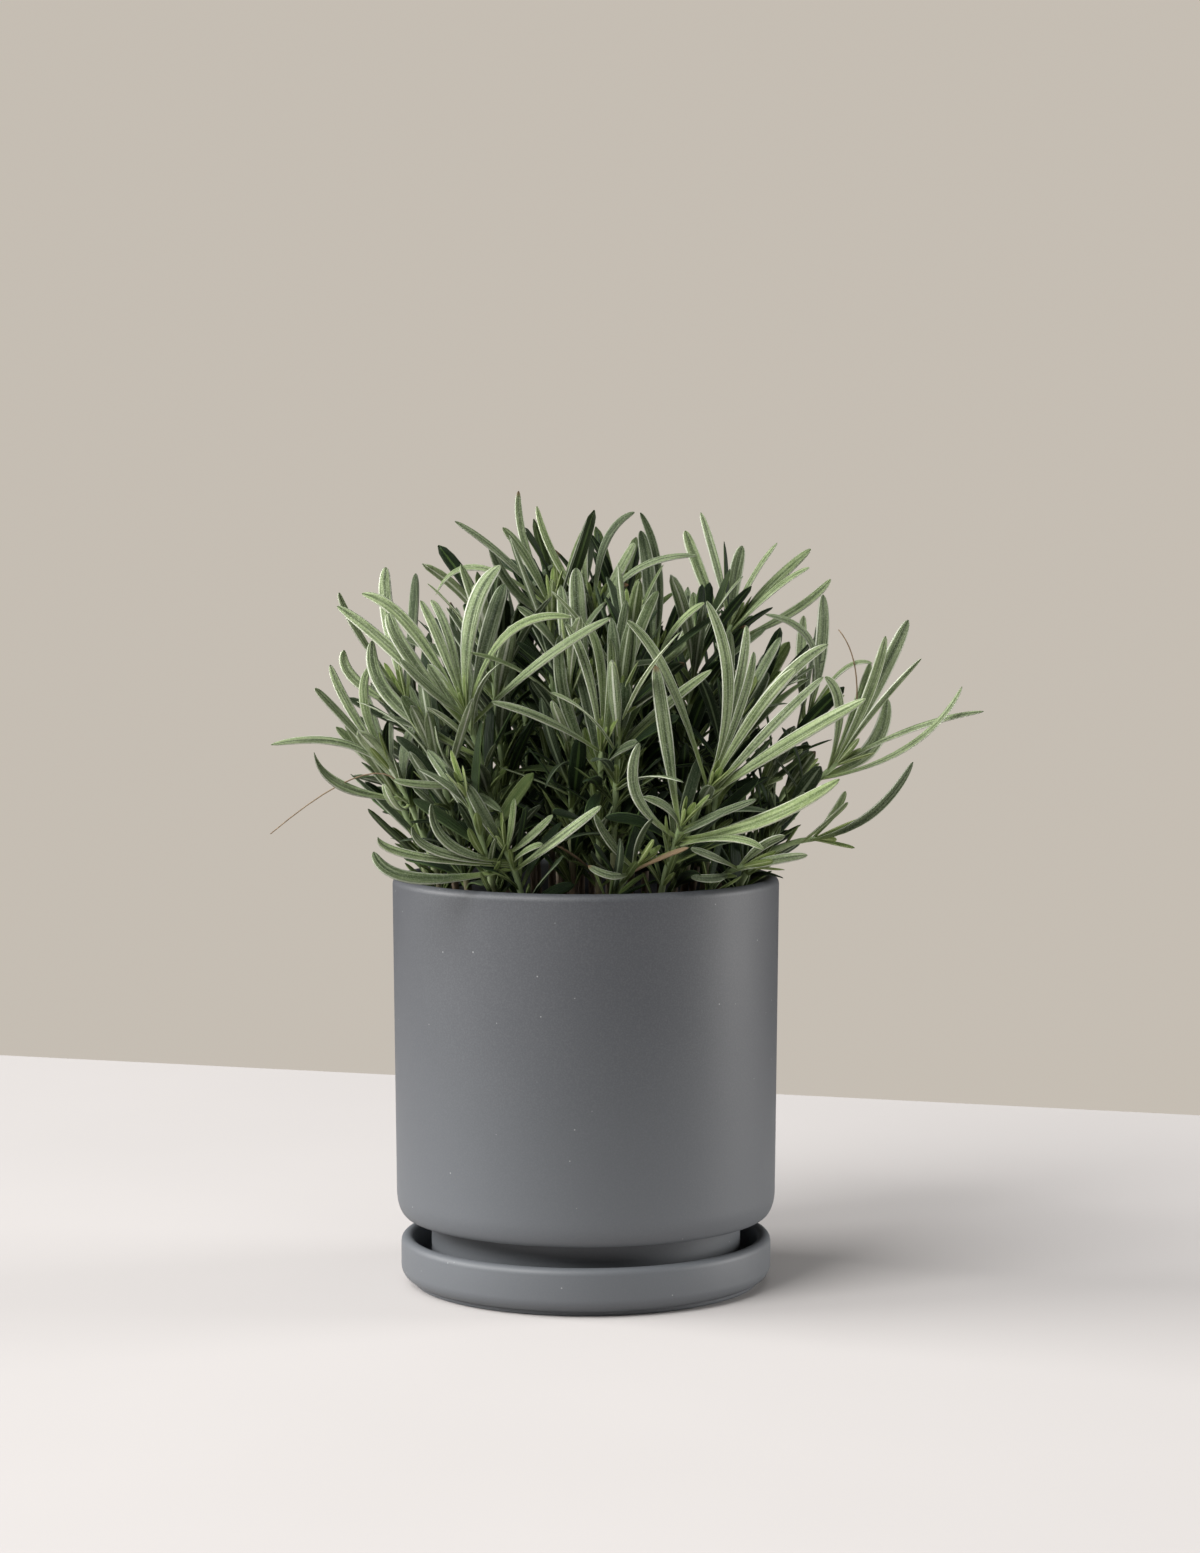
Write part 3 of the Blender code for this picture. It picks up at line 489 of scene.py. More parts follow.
def stem_tries(root, tip):
    """Lines up out of the soil first, and over towards the tip after. A smaller lean bends later."""
    for turn in STEM_TURNS:
        for pull in STEM_PULLS:
            x = (root.x * math.cos(turn) - root.y * math.sin(turn)) * pull
            y = (root.x * math.sin(turn) + root.y * math.cos(turn)) * pull
            start = Vector((x, y, root.z))
            for lean in STEM_LEANS:
                middle = start.lerp(tip, lean)
                middle.z = start.z + (STEM_RISE - lean) * (tip.z - start.z)
                yield start, middle, tip


def clear_stem(room, root, tip):
    """The first line that misses the pot's wall and the other stems, or else the last one tried."""
    for line in stem_tries(root, tip):
        if room.stem_is_clear(line):
            break
    return line


def spiral_shoots():
    """Shoots between the listed ones: roots on a sunflower spiral, and tips on a dome."""
    shoots = {}
    taken = [(Vector(root), Vector(tip)) for root, tip in PLACED_SHOOTS.values()]
    for spot in range(SPIRAL_SPOTS):
        share = math.sqrt((spot + 0.5) / SPIRAL_SPOTS)
        out = Vector((math.cos(spot * GOLDEN_TURN), math.sin(spot * GOLDEN_TURN)))
        root = out * (ROOT_REACH * PLACED_SOIL_R * share)
        lean = out * (PLACED_CROWN_R * (TIP_REACH[0] + TIP_REACH[1] * share) * share)
        tip = Vector((lean.x, lean.y, PLACED_CROWN_H * (DOME_TOP - DOME_FALL * share ** DOME_CURVE)))
        if all(
            (root - other_root).length > NEAREST_ROOT and (tip - other_tip).length > NEAREST_TIP
            for other_root, other_tip in taken
        ):
            shoots[f"{len(shoots) + 1:02d}"] = (tuple(root), tuple(tip))
    return shoots


def grow_stems(room):
    """Each shoot's stem, by name: first the listed ones, then the spiral between them."""
    stems = {}
    for name, (root, tip) in (PLACED_SHOOTS | spiral_shoots()).items():
        line = clear_stem(room, placed_root(*root), placed(*tip))
        stems[name] = line
        room.add(name, stem_shape(line, 0.0))
    return stems


def placed_leaf(shoot, line, below, through, tip, width, shift):
    """A listed leaf, moved by shift at its tip and half as much in its middle."""
    run = (line[2] - line[0]).length
    base = on_stem(line, max(LOWEST_BASE, 1 - below * MM / run))
    end = placed(*tip) + shift
    halfway = placed(*through) + shift / 2
    middle = halfway * 2 - (base + end) / 2
    way = bezier_way(line, 1.0)
    out = square_to(way, end - base)
    spread = way.angle(end - base)
    face = way * math.sin(spread) - out * math.cos(spread) + SHOWN_SIDE
    return Leaf(shoot, (base, middle, end), face, width * LEAF_WIDTH / PLACED_LEAF_WIDTH, PLACED_STATIONS)


def placed_leaf_tries(shoot, line, row):
    """The leaf where it was placed, and then moved a little further each time."""
    for away in PLACED_SHIFTS:
        for side in PLACED_SIDE_SHIFTS:
            yield placed_leaf(shoot, line, *row, Vector((side, away, 0)) * MM)


def grow_placed_leaves(room, stems):
    """Each listed leaf, at the first of its tries that finds room."""
    leaves = []
    for shoot, rows in PLACED_LEAVES.items():
        for row in rows:
            for leaf in placed_leaf_tries(shoot, stems[shoot], row):
                if room.leaf_is_clear(leaf):
                    leaves.append(leaf)
                    room.add_leaf(leaf)
                    break
    return leaves


def grown_leaf(shoot, line, place, turn, opening, bend, length, width, twist, droop):
    """A leaf that opens from its stem at an angle and bends further out towards its tip."""
    base = on_stem(line, place)
    way = bezier_way(line, place)
    a = square_to(way, STEM_AXIS)
    b = way.cross(a)
    out = a * math.cos(turn) + b * math.sin(turn)
    first = way * math.cos(opening) + out * math.sin(opening)
    last = way * math.cos(opening + bend) + out * math.sin(opening + bend)
    middle = base + first * (length / 2)
    tip = middle + last * (length / 2)
    tip.z -= droop * length
    face = way * math.sin(opening) - out * math.cos(opening)
    return Leaf(shoot, (base, middle, tip), face, width, RULED_STATIONS, twist)


def inside_outline(leaf):
    """True if a leaf's tip stays within the crown, which widens evenly from the soil to the top."""
    tip = leaf.line[2]
    height = (tip.z - SOIL_Z) / CROWN_H
    return math.hypot(tip.x, tip.y) < CROWN_R * (OUTLINE[0] + OUTLINE[1] * height)


def pair_plans(stems, dice):
    """Where each shoot's crosswise pairs would grow. The shoots take turns, so that none fills up first."""
    plans = []
    for shoot, line in stems.items():
        first = PLACED_SHOOTS_FIRST_PAIR if shoot in PLACED_LEAVES else 0
        run = (line[2] - line[0]).length
        grown = min(1.0, SHORTEST_LEAVES + (line[2].z - line[0].z) / FULL_HEIGHT)
        turn = dice.uniform(0, math.pi)
        below = FIRST_PAIR_BELOW
        for pair, size in enumerate(PAIR_SIZES):
            share = pair / (len(PAIR_SIZES) - 1)
            below += PAIR_STEP[0] + PAIR_STEP[1] * share
            turn += math.pi / 2
            place = 1 - below / run
            opening = math.radians(PAIR_OPENING[0] + PAIR_OPENING[1] * share)
            if pair >= first and place >= LOWEST_PAIR:
                for half in (0, math.pi):
                    length = size * grown * LEAF_LENGTH
                    plans.append((pair - first, shoot, line, place, turn + half, opening, length))
    return sorted(plans, key=lambda plan: plan[0])


def grow_pairs(room, stems):
    """Every pair that finds room. Each leaf has some tries, looser and shorter each time."""
    dice = random.Random(SEED)
    leaves = []
    for _, shoot, line, place, turn, opening, length in pair_plans(stems, dice):
        for attempt in range(LEAF_TRIES):
            loose = LOOSE[0] + LOOSE[1] * attempt
            leaf = grown_leaf(
                shoot, line, place,
                turn=turn + dice.gauss(0, loose),
                opening=opening * dice.uniform(*OPENING_SHARES) + dice.gauss(0, LOOSE_OPENING * loose),
                bend=math.radians(dice.gauss(*BEND)),
                length=length * dice.uniform(*LENGTH_SHARES) * (1 - SHORTER * attempt),
                width=LEAF_WIDTH * dice.uniform(*WIDTH_SHARES),
                twist=dice.gauss(0, TWIST),
                droop=dice.uniform(0.0, DROOP),
            )
            if inside_outline(leaf) and room.leaf_is_clear(leaf):
                leaves.append(leaf)
                room.add_leaf(leaf)
                break
    return leaves


# ---- Leaves that fill the shoots out -----------------------------------------------------------------

FILL_SEED = 23
NODE_STEP = 7.5 * MM          # down a stem from one pair of leaves to the next
FIRST_NODE = 9.0 * MM
LOWEST_NODE = 0.1
FILL_TRIES = 5                # for a long leaf at a node, each looser and shorter than the last
FULL_LEAF = 40.0 * MM         # its usual length, and the least and most of that and of the usual width
FULL_LENGTHS = (0.55, 1.1)
FULL_WIDTHS = (0.85, 1.3)
FULL_SHORTER = 0.08
FULL_OPENING = (18, 40)       # degrees from the stem: at its tip, and added at its foot
TUFT_COUNT = (1, 3)           # short leaves between a long leaf and the stem
TUFTS_BELOW = 0.62            # higher up a stem the tufts are half as full
TUFT_LENGTHS = (8.0 * MM, 19.0 * MM)
TUFT_WIDTHS = (1.7 * MM, 2.7 * MM)
TUFT_OPENING = (12, 48)
APEX_LEAVES = 5               # at the tip of a stem
APEX_PART = 0.03              # the part of the stem that they stand on
APEX_LENGTHS = (7.0 * MM, 17.0 * MM)
APEX_WIDTHS = (1.5 * MM, 2.6 * MM)
APEX_OPENING = 12             # how many degrees wider the lowest of them opens

PAINTED_LIGHT_FROM = 0.95              # distance from the soil's middle, in crowns, where painted light on the leaves begins; nearer the middle, painted shade darkens them
PAINTED_LIGHT_RISE = 1.6
SUNNY_SIDE = (-0.3, -0.9)     # x and y of the way to the light
MOST_SHADED_SIDE = -0.20
SUN_SHARE = (0.05, 0.90)      # how much the sunny side counts: at the soil, and added at the top
TONE_SPREAD = (-0.45, 0.50)
SCORCHED_SHARE = 0.03         # of the leaves, scorched at the tip
DRY_SHARE = 0.12              # of the low leaves, scorched or quite dry
SCORCHED = 0.2


class GrowthAndLight:
    """What one leaf is like: its tone, which holds painted light and shade as well as a random spread, how
    young it is and how dry, each from 0 to 1.
    """

    def __init__(self, tone, young=0.0, dry=0.0):
        self.tone = tone
        self.young = young
        self.dry = dry


def tone_with_painted_light(leaf, dice):
    """Painted light and shade in a leaf's tone: leaves high up, at the outside of the crown and towards the
    light are painted paler, and those within are painted darker as shade; a random spread is added.
    """
    tip = leaf.line[2]
    height = (tip.z - SOIL_Z) / CROWN_H
    outside = Vector((tip.x / CROWN_R, tip.y / CROWN_R, height)).length
    sunny = (tip.x * SUNNY_SIDE[0] + tip.y * SUNNY_SIDE[1]) / CROWN_R
    # painted shade within the crown, and painted light outside it and on the side towards the light
    lit = (outside - PAINTED_LIGHT_FROM) * PAINTED_LIGHT_RISE
    lit += max(sunny, MOST_SHADED_SIDE) * (SUN_SHARE[0] + SUN_SHARE[1] * height)
    return min(1.0, max(0.0, lit + dice.uniform(*TONE_SPREAD)))


def dryness(leaf, dice):
    """A few leaves are scorched at the tip, and a few of the low ones are quite dry."""
    draw = dice.random()
    if draw < SCORCHED_SHARE:
        return SCORCHED
    if draw < DRY_SHARE and leaf.line[2].z < SOIL_Z + CROWN_H / 4:
        return 1.0
    return 0.0


def apex_leaves(shoot, line, dice):
    """Small leaves that still stand close together at the tip of a stem."""
    leaves = []
    turn = dice.uniform(0, math.pi)
    for number in range(APEX_LEAVES):
        turn += math.pi / 2 if number % 2 == 0 else math.pi
        share = number / (APEX_LEAVES - 1)
        leaves.append(grown_leaf(
            shoot, line, 1.0 - APEX_PART * share,
            turn=turn + dice.gauss(0, 0.25),
            opening=math.radians(dice.uniform(3, 10) + APEX_OPENING * share),
            bend=math.radians(dice.gauss(4, 6)),
            length=APEX_LENGTHS[0] + (APEX_LENGTHS[1] - APEX_LENGTHS[0]) * share * dice.uniform(0.7, 1.1),
            width=dice.uniform(*APEX_WIDTHS),
            twist=dice.gauss(0, 0.3),
            droop=0.0,
        ))
    return leaves


def node_places(line):
    """Each node of a stem from its tip down, as a share of the stem."""
    run = (line[2] - line[0]).length
    below = FIRST_NODE
    while 1 - below / run > LOWEST_NODE:
        yield 1 - below / run
        below += NODE_STEP


def tuft(shoot, line, place, turn, dice):
    """Short leaves in the angle between a long leaf and the stem."""
    count = dice.randint(*TUFT_COUNT)
    if place > TUFTS_BELOW:
        count //= 2
    for _ in range(count):
        yield grown_leaf(
            shoot, line, place,
            turn=turn + dice.gauss(0, 0.5),
            opening=math.radians(dice.uniform(*TUFT_OPENING)),
            bend=math.radians(dice.gauss(8, 12)),
            length=dice.uniform(*TUFT_LENGTHS),
            width=dice.uniform(*TUFT_WIDTHS),
            twist=dice.gauss(0, 0.4),
            droop=0.0,
        )


def full_leaf(shoot, line, place, turn, attempt, dice):
    """A long leaf at a node. Low leaves open wide, and high ones stand close to the stem."""
    opening = math.radians(FULL_OPENING[0] + FULL_OPENING[1] * (1 - place)) * dice.uniform(0.7, 1.25)
    return grown_leaf(
        shoot, line, place,
        turn=turn + dice.gauss(0, 0.3 + 0.25 * attempt),
        opening=opening + dice.gauss(0, 0.1 * attempt),
        bend=math.radians(dice.gauss(14, 16)),
        length=FULL_LEAF * dice.uniform(*FULL_LENGTHS) * (1 - FULL_SHORTER * attempt),
        width=LEAF_WIDTH * dice.uniform(*FULL_WIDTHS),
        twist=dice.gauss(0, 0.5),
        droop=dice.uniform(0.0, 0.15),
    )


def fill_out(room, stems):
    """Leaves that only the looks need, each with its growth: long ones that find room, tufts and tips."""
    dice = random.Random(FILL_SEED)
    grown = []
    for shoot, line in stems.items():
        for leaf in apex_leaves(shoot, line, dice):
            grown.append((leaf, GrowthAndLight(tone_with_painted_light(leaf, dice), young=dice.uniform(0.55, 1.0))))
        turn = dice.uniform(0, math.pi)
        for place in node_places(line):
            turn += math.pi / 2
            for half in (0, math.pi):
                for leaf in filter(inside_outline, tuft(shoot, line, place, turn + half, dice)):
                    grown.append((leaf, GrowthAndLight(tone_with_painted_light(leaf, dice), young=dice.uniform(0.1, 0.6))))
                for attempt in range(FILL_TRIES):
                    leaf = full_leaf(shoot, line, place, turn + half, attempt, dice)
                    if inside_outline(leaf) and room.leaf_is_clear(leaf):
                        room.add_leaf(leaf)
                        grown.append((leaf, GrowthAndLight(tone_with_painted_light(leaf, dice), dry=dryness(leaf, dice))))
                        break
    return grown


# ---- Shader building ---------------------------------------------------------------------------------


class Value:
    """A number that changes over a surface. Arithmetic on it adds Math nodes."""

    def __init__(self, surface, socket):
        self.surface = surface
        self.socket = socket

    def maths(self, operation, *others):
        node = self.surface.tree.nodes.new("ShaderNodeMath")
        node.operation = operation
        for slot, given in zip(node.inputs, (self, *others)):
            self.surface.give(slot, given)
        return Value(self.surface, node.outputs[0])

    def __add__(self, other):
        return self.maths("ADD", other)

    __radd__ = __add__

    def __mul__(self, other):
        return self.maths("MULTIPLY", other)

    __rmul__ = __mul__

    def __sub__(self, other):
        return self.maths("SUBTRACT", other)

    def __rsub__(self, other):
        return (self * -1.0) + other

    def __abs__(self):
        return self.maths("ABSOLUTE")


class Surface:
    """A material being made. Its methods add nodes and give back what comes out of them."""

    def __init__(self, name):
        self.material = bpy.data.materials.new(name)
        self.material.use_nodes = True
        self.tree = self.material.node_tree
        self.tree.nodes.clear()

    def give(self, slot, given):
        """Links a socket to what comes out of another node, or sets it to a number or a colour."""
        if isinstance(given, Value):
            self.tree.links.new(given.socket, slot)
        elif isinstance(given, tuple) and slot.type == "RGBA":
            slot.default_value = (*given, 1.0)
        else:
            slot.default_value = given

    def node(self, kind, settings=None, inputs=None, output=0):
        """What comes out of a new node of any kind, whose settings are set before its sockets."""
        node = self.tree.nodes.new(kind)
        for setting, value in (settings or {}).items():
            setattr(node, setting, value)
        for slot, given in (inputs or {}).items():
            self.give(node.inputs[slot], given)
        return Value(self, node.outputs[output])

    def parts(self, kind, inputs, *names):
        """What a node that takes one value apart gives, by the names of its outputs."""
        node = self.node(kind, inputs=inputs).socket.node
        return [Value(self, node.outputs[name]) for name in names]

    def place(self, stretch=(1.0, 1.0, 1.0)):
        """Where a point is on the object, in metres."""
        spot = self.node("ShaderNodeTexCoord", output="Object")
        return self.node("ShaderNodeMapping", inputs={"Vector": spot, "Scale": stretch}, output="Vector")

    def noise(self, place, size, detail=2.0, roughness=0.5):
        """Soft lumps about as large as size, from 0 to 1."""
        inputs = {"Vector": place, "Scale": 1 / size, "Detail": detail, "Roughness": roughness}
        return self.node("ShaderNodeTexNoise", inputs=inputs)

    def cells(self, place, size):
        """Distance from the middle of each cell, in cells about as large as size."""
        return self.node("ShaderNodeTexVoronoi", inputs={"Vector": place, "Scale": 1 / size})

    def step(self, value, low, high):
        """0 below low and 1 above high, with a smooth rise between."""
        inputs = {"Value": value, "From Min": low, "From Max": high}
        return self.node("ShaderNodeMapRange", {"interpolation_type": "SMOOTHSTEP"}, inputs)

    def mix(self, factor, first, second):
        """A colour between two colours."""
        inputs = {0: factor, 6: first, 7: second}
        return self.node("ShaderNodeMix", {"data_type": "RGBA"}, inputs, output=2)

    def coated(self, colour, *coats):
        """A colour with others laid over it in turn, each as far as its cover goes."""
        for cover, coat in coats:
            colour = self.mix(cover, colour, coat)
        return colour

    def bump(self, height, depth, strength, normal=None):
        """A normal that follows a height, on top of another normal if one is given."""
        inputs = {"Height": height, "Distance": depth, "Strength": strength}
        if normal:
            inputs["Normal"] = normal
        return self.node("ShaderNodeBump", inputs=inputs)

    def finish(self, **inputs):
        """Ends in a Principled BSDF. The names of its sockets are given with underscores."""
        named = {name.replace("_", " "): given for name, given in inputs.items()}
        shader = self.node("ShaderNodeBsdfPrincipled", inputs=named)
        ending = self.tree.nodes.new("ShaderNodeOutputMaterial")
        self.tree.links.new(shader.socket, ending.inputs["Surface"])
        return self.material


# ---- Finishes ----------------------------------------------------------------------------------------


def matte_glaze(name):
    """A dense satin-matt stoneware glaze: faint clouds of tone, a fine tooth and a few pale pinpricks."""
    glaze = Surface(name)
    place = glaze.place()
    clouds = glaze.noise(place, 28 * MM, detail=3.0)
    grain = glaze.noise(place, 0.5 * MM)
    height = glaze.node("ShaderNodeSeparateXYZ", inputs={"Vector": place}, output="Z")
    speck = glaze.step(glaze.cells(place, 7 * MM), 0.045, 0.025)
    colour = glaze.coated(
        glaze.mix(clouds, (0.053, 0.057, 0.065), (0.061, 0.065, 0.073)),
        (glaze.step(height, 0.130, -0.02), (0.115, 0.125, 0.137)),      # painted light: paler lower down
        (glaze.step(grain, 0.35, 0.75) * 0.22, (0.142, 0.150, 0.160)),
        (speck * 0.55, (0.42, 0.42, 0.42)),
    )
    ripple = glaze.noise(place, 9 * MM, detail=1.0)
    normal = glaze.bump(grain, 0.03 * MM, 0.4)
    normal = glaze.bump(ripple, 0.08 * MM, 0.3, normal)
    roughness = clouds * 0.10 + grain * 0.06 + 0.46
    return glaze.finish(Base_Color=colour, Roughness=roughness, Normal=normal, Specular_IOR_Level=0.5)


def felted_leaf(name):
    """Lavender leaf: pale felt on the rolled margins and the keel, and the furrow along the top darkened with
    painted shade.
    """
    leaf = Surface(name)
    along_and_round = leaf.node("ShaderNodeUVMap", {"uv_map": "leaf"})
    along, around = leaf.parts("ShaderNodeSeparateXYZ", {"Vector": along_and_round}, "X", "Y")
    growth_and_light = leaf.node("ShaderNodeAttribute", {"attribute_name": "growth_and_light"}, output="Color")
    tone, young, dry = leaf.parts("ShaderNodeSeparateColor", {"Color": growth_and_light}, "Red", "Green", "Blue")

    upper = abs(around * 2.0 - 1.0)
    # painted shade: the groove along the upper side is darkened
    groove_shade = leaf.step(upper, 0.88, 0.99)
    margin = leaf.step(abs(upper - 0.57), 0.13, 0.03)
    keel = leaf.step(upper, 0.10, 0.03)
    streaks = leaf.node("ShaderNodeMapping", inputs={"Vector": along_and_round, "Scale": (2.5, 34.0, 1.0)})
    veins = leaf.node(
        "ShaderNodeTexNoise", {"noise_dimensions": "4D"},
        {"Vector": streaks, "W": tone * 25.0, "Scale": 1.0, "Detail": 2.0},
    )
    place = leaf.place()
    felt = leaf.noise(place, 0.50 * MM, detail=3.0, roughness=0.7)
    blotch = leaf.noise(place, 6 * MM)
    foot = leaf.step(along, 0.30, 0.0)
    tip = leaf.step(along, 0.92, 0.99)

    # tone holds painted light and shade: the higher it is, the paler the blade and the felt are painted
    blade = leaf.coated(
        leaf.mix(tone * tone, (0.003, 0.011, 0.002), (0.420, 0.510, 0.280)),
        (blotch * tone * 0.7, (0.060, 0.105, 0.028)),
        (young * 0.75, (0.310, 0.410, 0.110)),
    )
    pale = leaf.mix(tone, (0.070, 0.125, 0.030), (0.940, 0.970, 0.830))
    pale = leaf.mix(young * 0.8, pale, (0.660, 0.740, 0.380))
    deep = leaf.mix(young, (0.006, 0.018, 0.002), (0.095, 0.165, 0.030))
    colour = leaf.coated(
        blade,
        (leaf.step(veins, 0.54, 0.36) * 0.65, deep),
        (leaf.step(veins, 0.55, 0.70) * 0.18, pale),
        # painted shade in the groove
        (groove_shade * 0.60, deep),
        (margin * (blotch * 0.4 + 0.5), pale),
        (keel * 0.70, pale),
        (leaf.step(felt, 0.48, 0.70) * 0.16, pale),
        (leaf.step(felt, 0.48, 0.30) * 0.30, deep),
        (foot * 0.50, (0.310, 0.410, 0.120)),
        (leaf.step(dry, 0.05, 0.15) * tip * 0.7, (0.180, 0.090, 0.045)),    # scorched
        (leaf.step(dry, 0.5, 0.9), (0.170, 0.120, 0.068)),                  # dead
    )

    normal = leaf.bump(felt, 0.14 * MM, 0.9)
    normal = leaf.bump(veins, 0.45 * MM, 0.9, normal)
    return leaf.finish(
        Base_Color=colour, Roughness=0.56 + felt * 0.16, Normal=normal,
        Specular_IOR_Level=0.18, Sheen_Weight=0.04, Sheen_Roughness=0.45, Sheen_Tint=(0.86, 0.95, 0.82),
    )


def green_stem(name):
    """Green stem, finely downy, that turns woody brown towards the soil."""
    stem = Surface(name)
    along_and_round = stem.node("ShaderNodeUVMap", {"uv_map": "leaf"})
    along = stem.node("ShaderNodeSeparateXYZ", inputs={"Vector": along_and_round}, output="X")
    streak = stem.noise(stem.place((1.0, 1.0, 0.25)), 0.9 * MM, detail=3.0)
    green = stem.mix(streak, (0.150, 0.220, 0.080), (0.300, 0.380, 0.190))
    woody = stem.mix(streak, (0.060, 0.040, 0.022), (0.170, 0.120, 0.070))
    colour = stem.mix(stem.step(along, 0.42, 0.10), green, woody)
    return stem.finish(
        Base_Color=colour, Roughness=0.72 + streak * 0.12, Normal=stem.bump(streak, 0.15 * MM, 0.8),
        Sheen_Weight=0.15,
    )


def potting_mix(name):
    """Moist peat and bark: hollows darkened nearly black with painted shade, brown crumbs and a few
    straw-coloured fibres.
    """
    mix = Surface(name)
    place = mix.place()
    lumps = mix.noise(place, 3.0 * MM, detail=5.0, roughness=0.65)
    fibre = mix.noise(mix.place((1.0, 0.18, 1.0)), 0.7 * MM)
    # painted shade: where the lumps sink into hollows, the mix is painted nearly black
    colour = mix.mix(mix.step(lumps, 0.32, 0.72), (0.008, 0.006, 0.004), (0.062, 0.040, 0.024))
    colour = mix.mix(mix.step(fibre, 0.66, 0.78) * 0.6, colour, (0.160, 0.105, 0.058))
    normal = mix.bump(lumps, 1.2 * MM, 0.9)
    return mix.finish(Base_Color=colour, Roughness=0.82 + lumps * 0.15, Normal=normal)


def perlite(name):
    """White puffed grains that lighten the potting mix, a little dusty."""
    grain = Surface(name)
    dust = grain.noise(grain.place(), 0.8 * MM, detail=4.0)
    colour = grain.mix(grain.step(dust, 0.45, 0.75), (0.62, 0.60, 0.55), (0.24, 0.20, 0.15))
    normal = grain.bump(dust, 0.4 * MM, 0.8)
    return grain.finish(Base_Color=colour, Roughness=0.80 + dust * 0.15, Normal=normal)


def dead_stalk(name):
    """A thin dead stalk: straw brown, darker in patches."""
    dead = Surface(name)
    patch = dead.noise(dead.place(), 2.2 * MM, detail=3.0)
    colour = dead.mix(patch, (0.085, 0.052, 0.030), (0.300, 0.215, 0.125))
    normal = dead.bump(patch, 0.2 * MM, 0.7)
    return dead.finish(Base_Color=colour, Roughness=0.66 + patch * 0.2, Normal=normal)


def pale_plaster(name, dark, light):
    """The plain surface that everything stands on, with hardly any shine."""
    plaster = Surface(name)
    tone = plaster.noise(plaster.place(), 180 * MM)
    return plaster.finish(
        Base_Color=plaster.mix(tone, dark, light), Roughness=0.85 + tone * 0.1, Specular_IOR_Level=0.05,
    )


# ---- Modelling help ----------------------------------------------------------------------------------


def deselect_all():
    if bpy.context.object and bpy.context.object.mode != "OBJECT":
        bpy.ops.object.mode_set(mode="OBJECT")
    bpy.ops.object.select_all(action="DESELECT")


def select_points(piece, chosen):
    """Goes into edit mode with only the points selected that pass the test."""
    bpy.ops.object.mode_set(mode="OBJECT")
    for kind in (piece.data.polygons, piece.data.edges):
        kind.foreach_set("select", [False] * len(kind))
    for point in piece.data.vertices:
        point.select = chosen(point)
    bpy.ops.object.mode_set(mode="EDIT")
    bpy.ops.mesh.select_mode(type="VERT")


def named(piece, name):
    piece.name = name
    piece.data.name = name
    return piece


def finish_shape(piece, name):
    """Puts the place into the mesh and names the piece."""
    deselect_all()
    piece.select_set(True)
    bpy.context.view_layer.objects.active = piece
    bpy.ops.object.transform_apply(location=True, rotation=True, scale=True)
    return named(piece, name)


def rounded(centre, across, up, start, end, steps):
    """Points (radius, height) on a rounded corner, from one angle to another, in degrees."""
    points = []
    for k in range(steps + 1):
        angle = math.radians(start + (end - start) * k / steps)
        points.append((centre[0] + across * math.cos(angle), centre[1] + up * math.sin(angle)))
    return points


def turned(name, profile, closed=False):
    """A piece turned on the axis: one point is pulled along the profile and the line is spun.

    A profile that doesn't end on the axis is closed.
    """
    deselect_all()
    bpy.ops.mesh.primitive_plane_add(size=MM, location=(0, 0, 0))
    piece = bpy.context.object
    bpy.ops.object.mode_set(mode="EDIT")
    bpy.ops.mesh.select_all(action="SELECT")
    bpy.ops.mesh.merge(type="CENTER")
    here = (0.0, 0.0)
    for number, (radius, z) in enumerate(profile):
        move = {"value": (radius - here[0], 0.0, z - here[1])}
        if number == 0:
            bpy.ops.transform.translate(**move)
        else:
            bpy.ops.mesh.extrude_vertices_move(TRANSFORM_OT_translate=move)
        here = (radius, z)
    if closed:
        select_points(piece, lambda point: point.index in (0, len(profile) - 1))
        bpy.ops.mesh.edge_face_add()
    bpy.ops.mesh.select_all(action="SELECT")
    bpy.ops.mesh.spin(steps=SPIN_STEPS, angle=2 * math.pi, center=(0, 0, 0), axis=(0, 0, 1))
    bpy.ops.mesh.select_all(action="SELECT")
    bpy.ops.mesh.remove_doubles(threshold=0.005 * MM)
    bpy.ops.mesh.normals_make_consistent(inside=False)
    bpy.ops.object.mode_set(mode="OBJECT")
    bpy.ops.object.shade_smooth_by_angle(angle=math.radians(50))
    return finish_shape(piece, name)


def wear(piece, material, slot, *nodes):
    """Gives a finished piece its material, its place in the model and the nodes that it stands for."""
    piece.data.materials.clear()
    piece.data.materials.append(material)
    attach(piece, "root")
    if nodes:
        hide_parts(*nodes)


def copy_of(master):
    """A copy with a mesh of its own."""
    piece = master.copy()
    piece.data = master.data.copy()
    bpy.context.scene.collection.objects.link(piece)
    return piece


def joined(pieces, name):
    """Several pieces as one."""
    deselect_all()
    for piece in pieces:
        piece.select_set(True)
    bpy.context.view_layer.objects.active = pieces[0]
    bpy.ops.object.join()
    return named(bpy.context.object, name)


# ---- Pot and saucer ----------------------------------------------------------------------------------

SPIN_STEPS = 128
LIP_STEPS = 10
CORNER_STEPS = 10
FOOT_EDGE = 0.8 * MM         # small rounding on the feet


def lip(outer_r, top, wall):
    """The fully rounded top of a wall, from its inner side over to its outer side."""
    half = wall / 2
    return rounded((outer_r - half, top - half), half, half, 180, 0, LIP_STEPS)


def taper(points):
    """Slants points of the pot's body inwards, as its taper asks at their height."""
    return [(tapered(radius, z), z) for radius, z in points]


def foot_edge(radius, z):
    """The rounded edge between a foot's side and its underside."""
    return rounded((radius - FOOT_EDGE, z + FOOT_EDGE), FOOT_EDGE, FOOT_EDGE, 0, -90, 3)


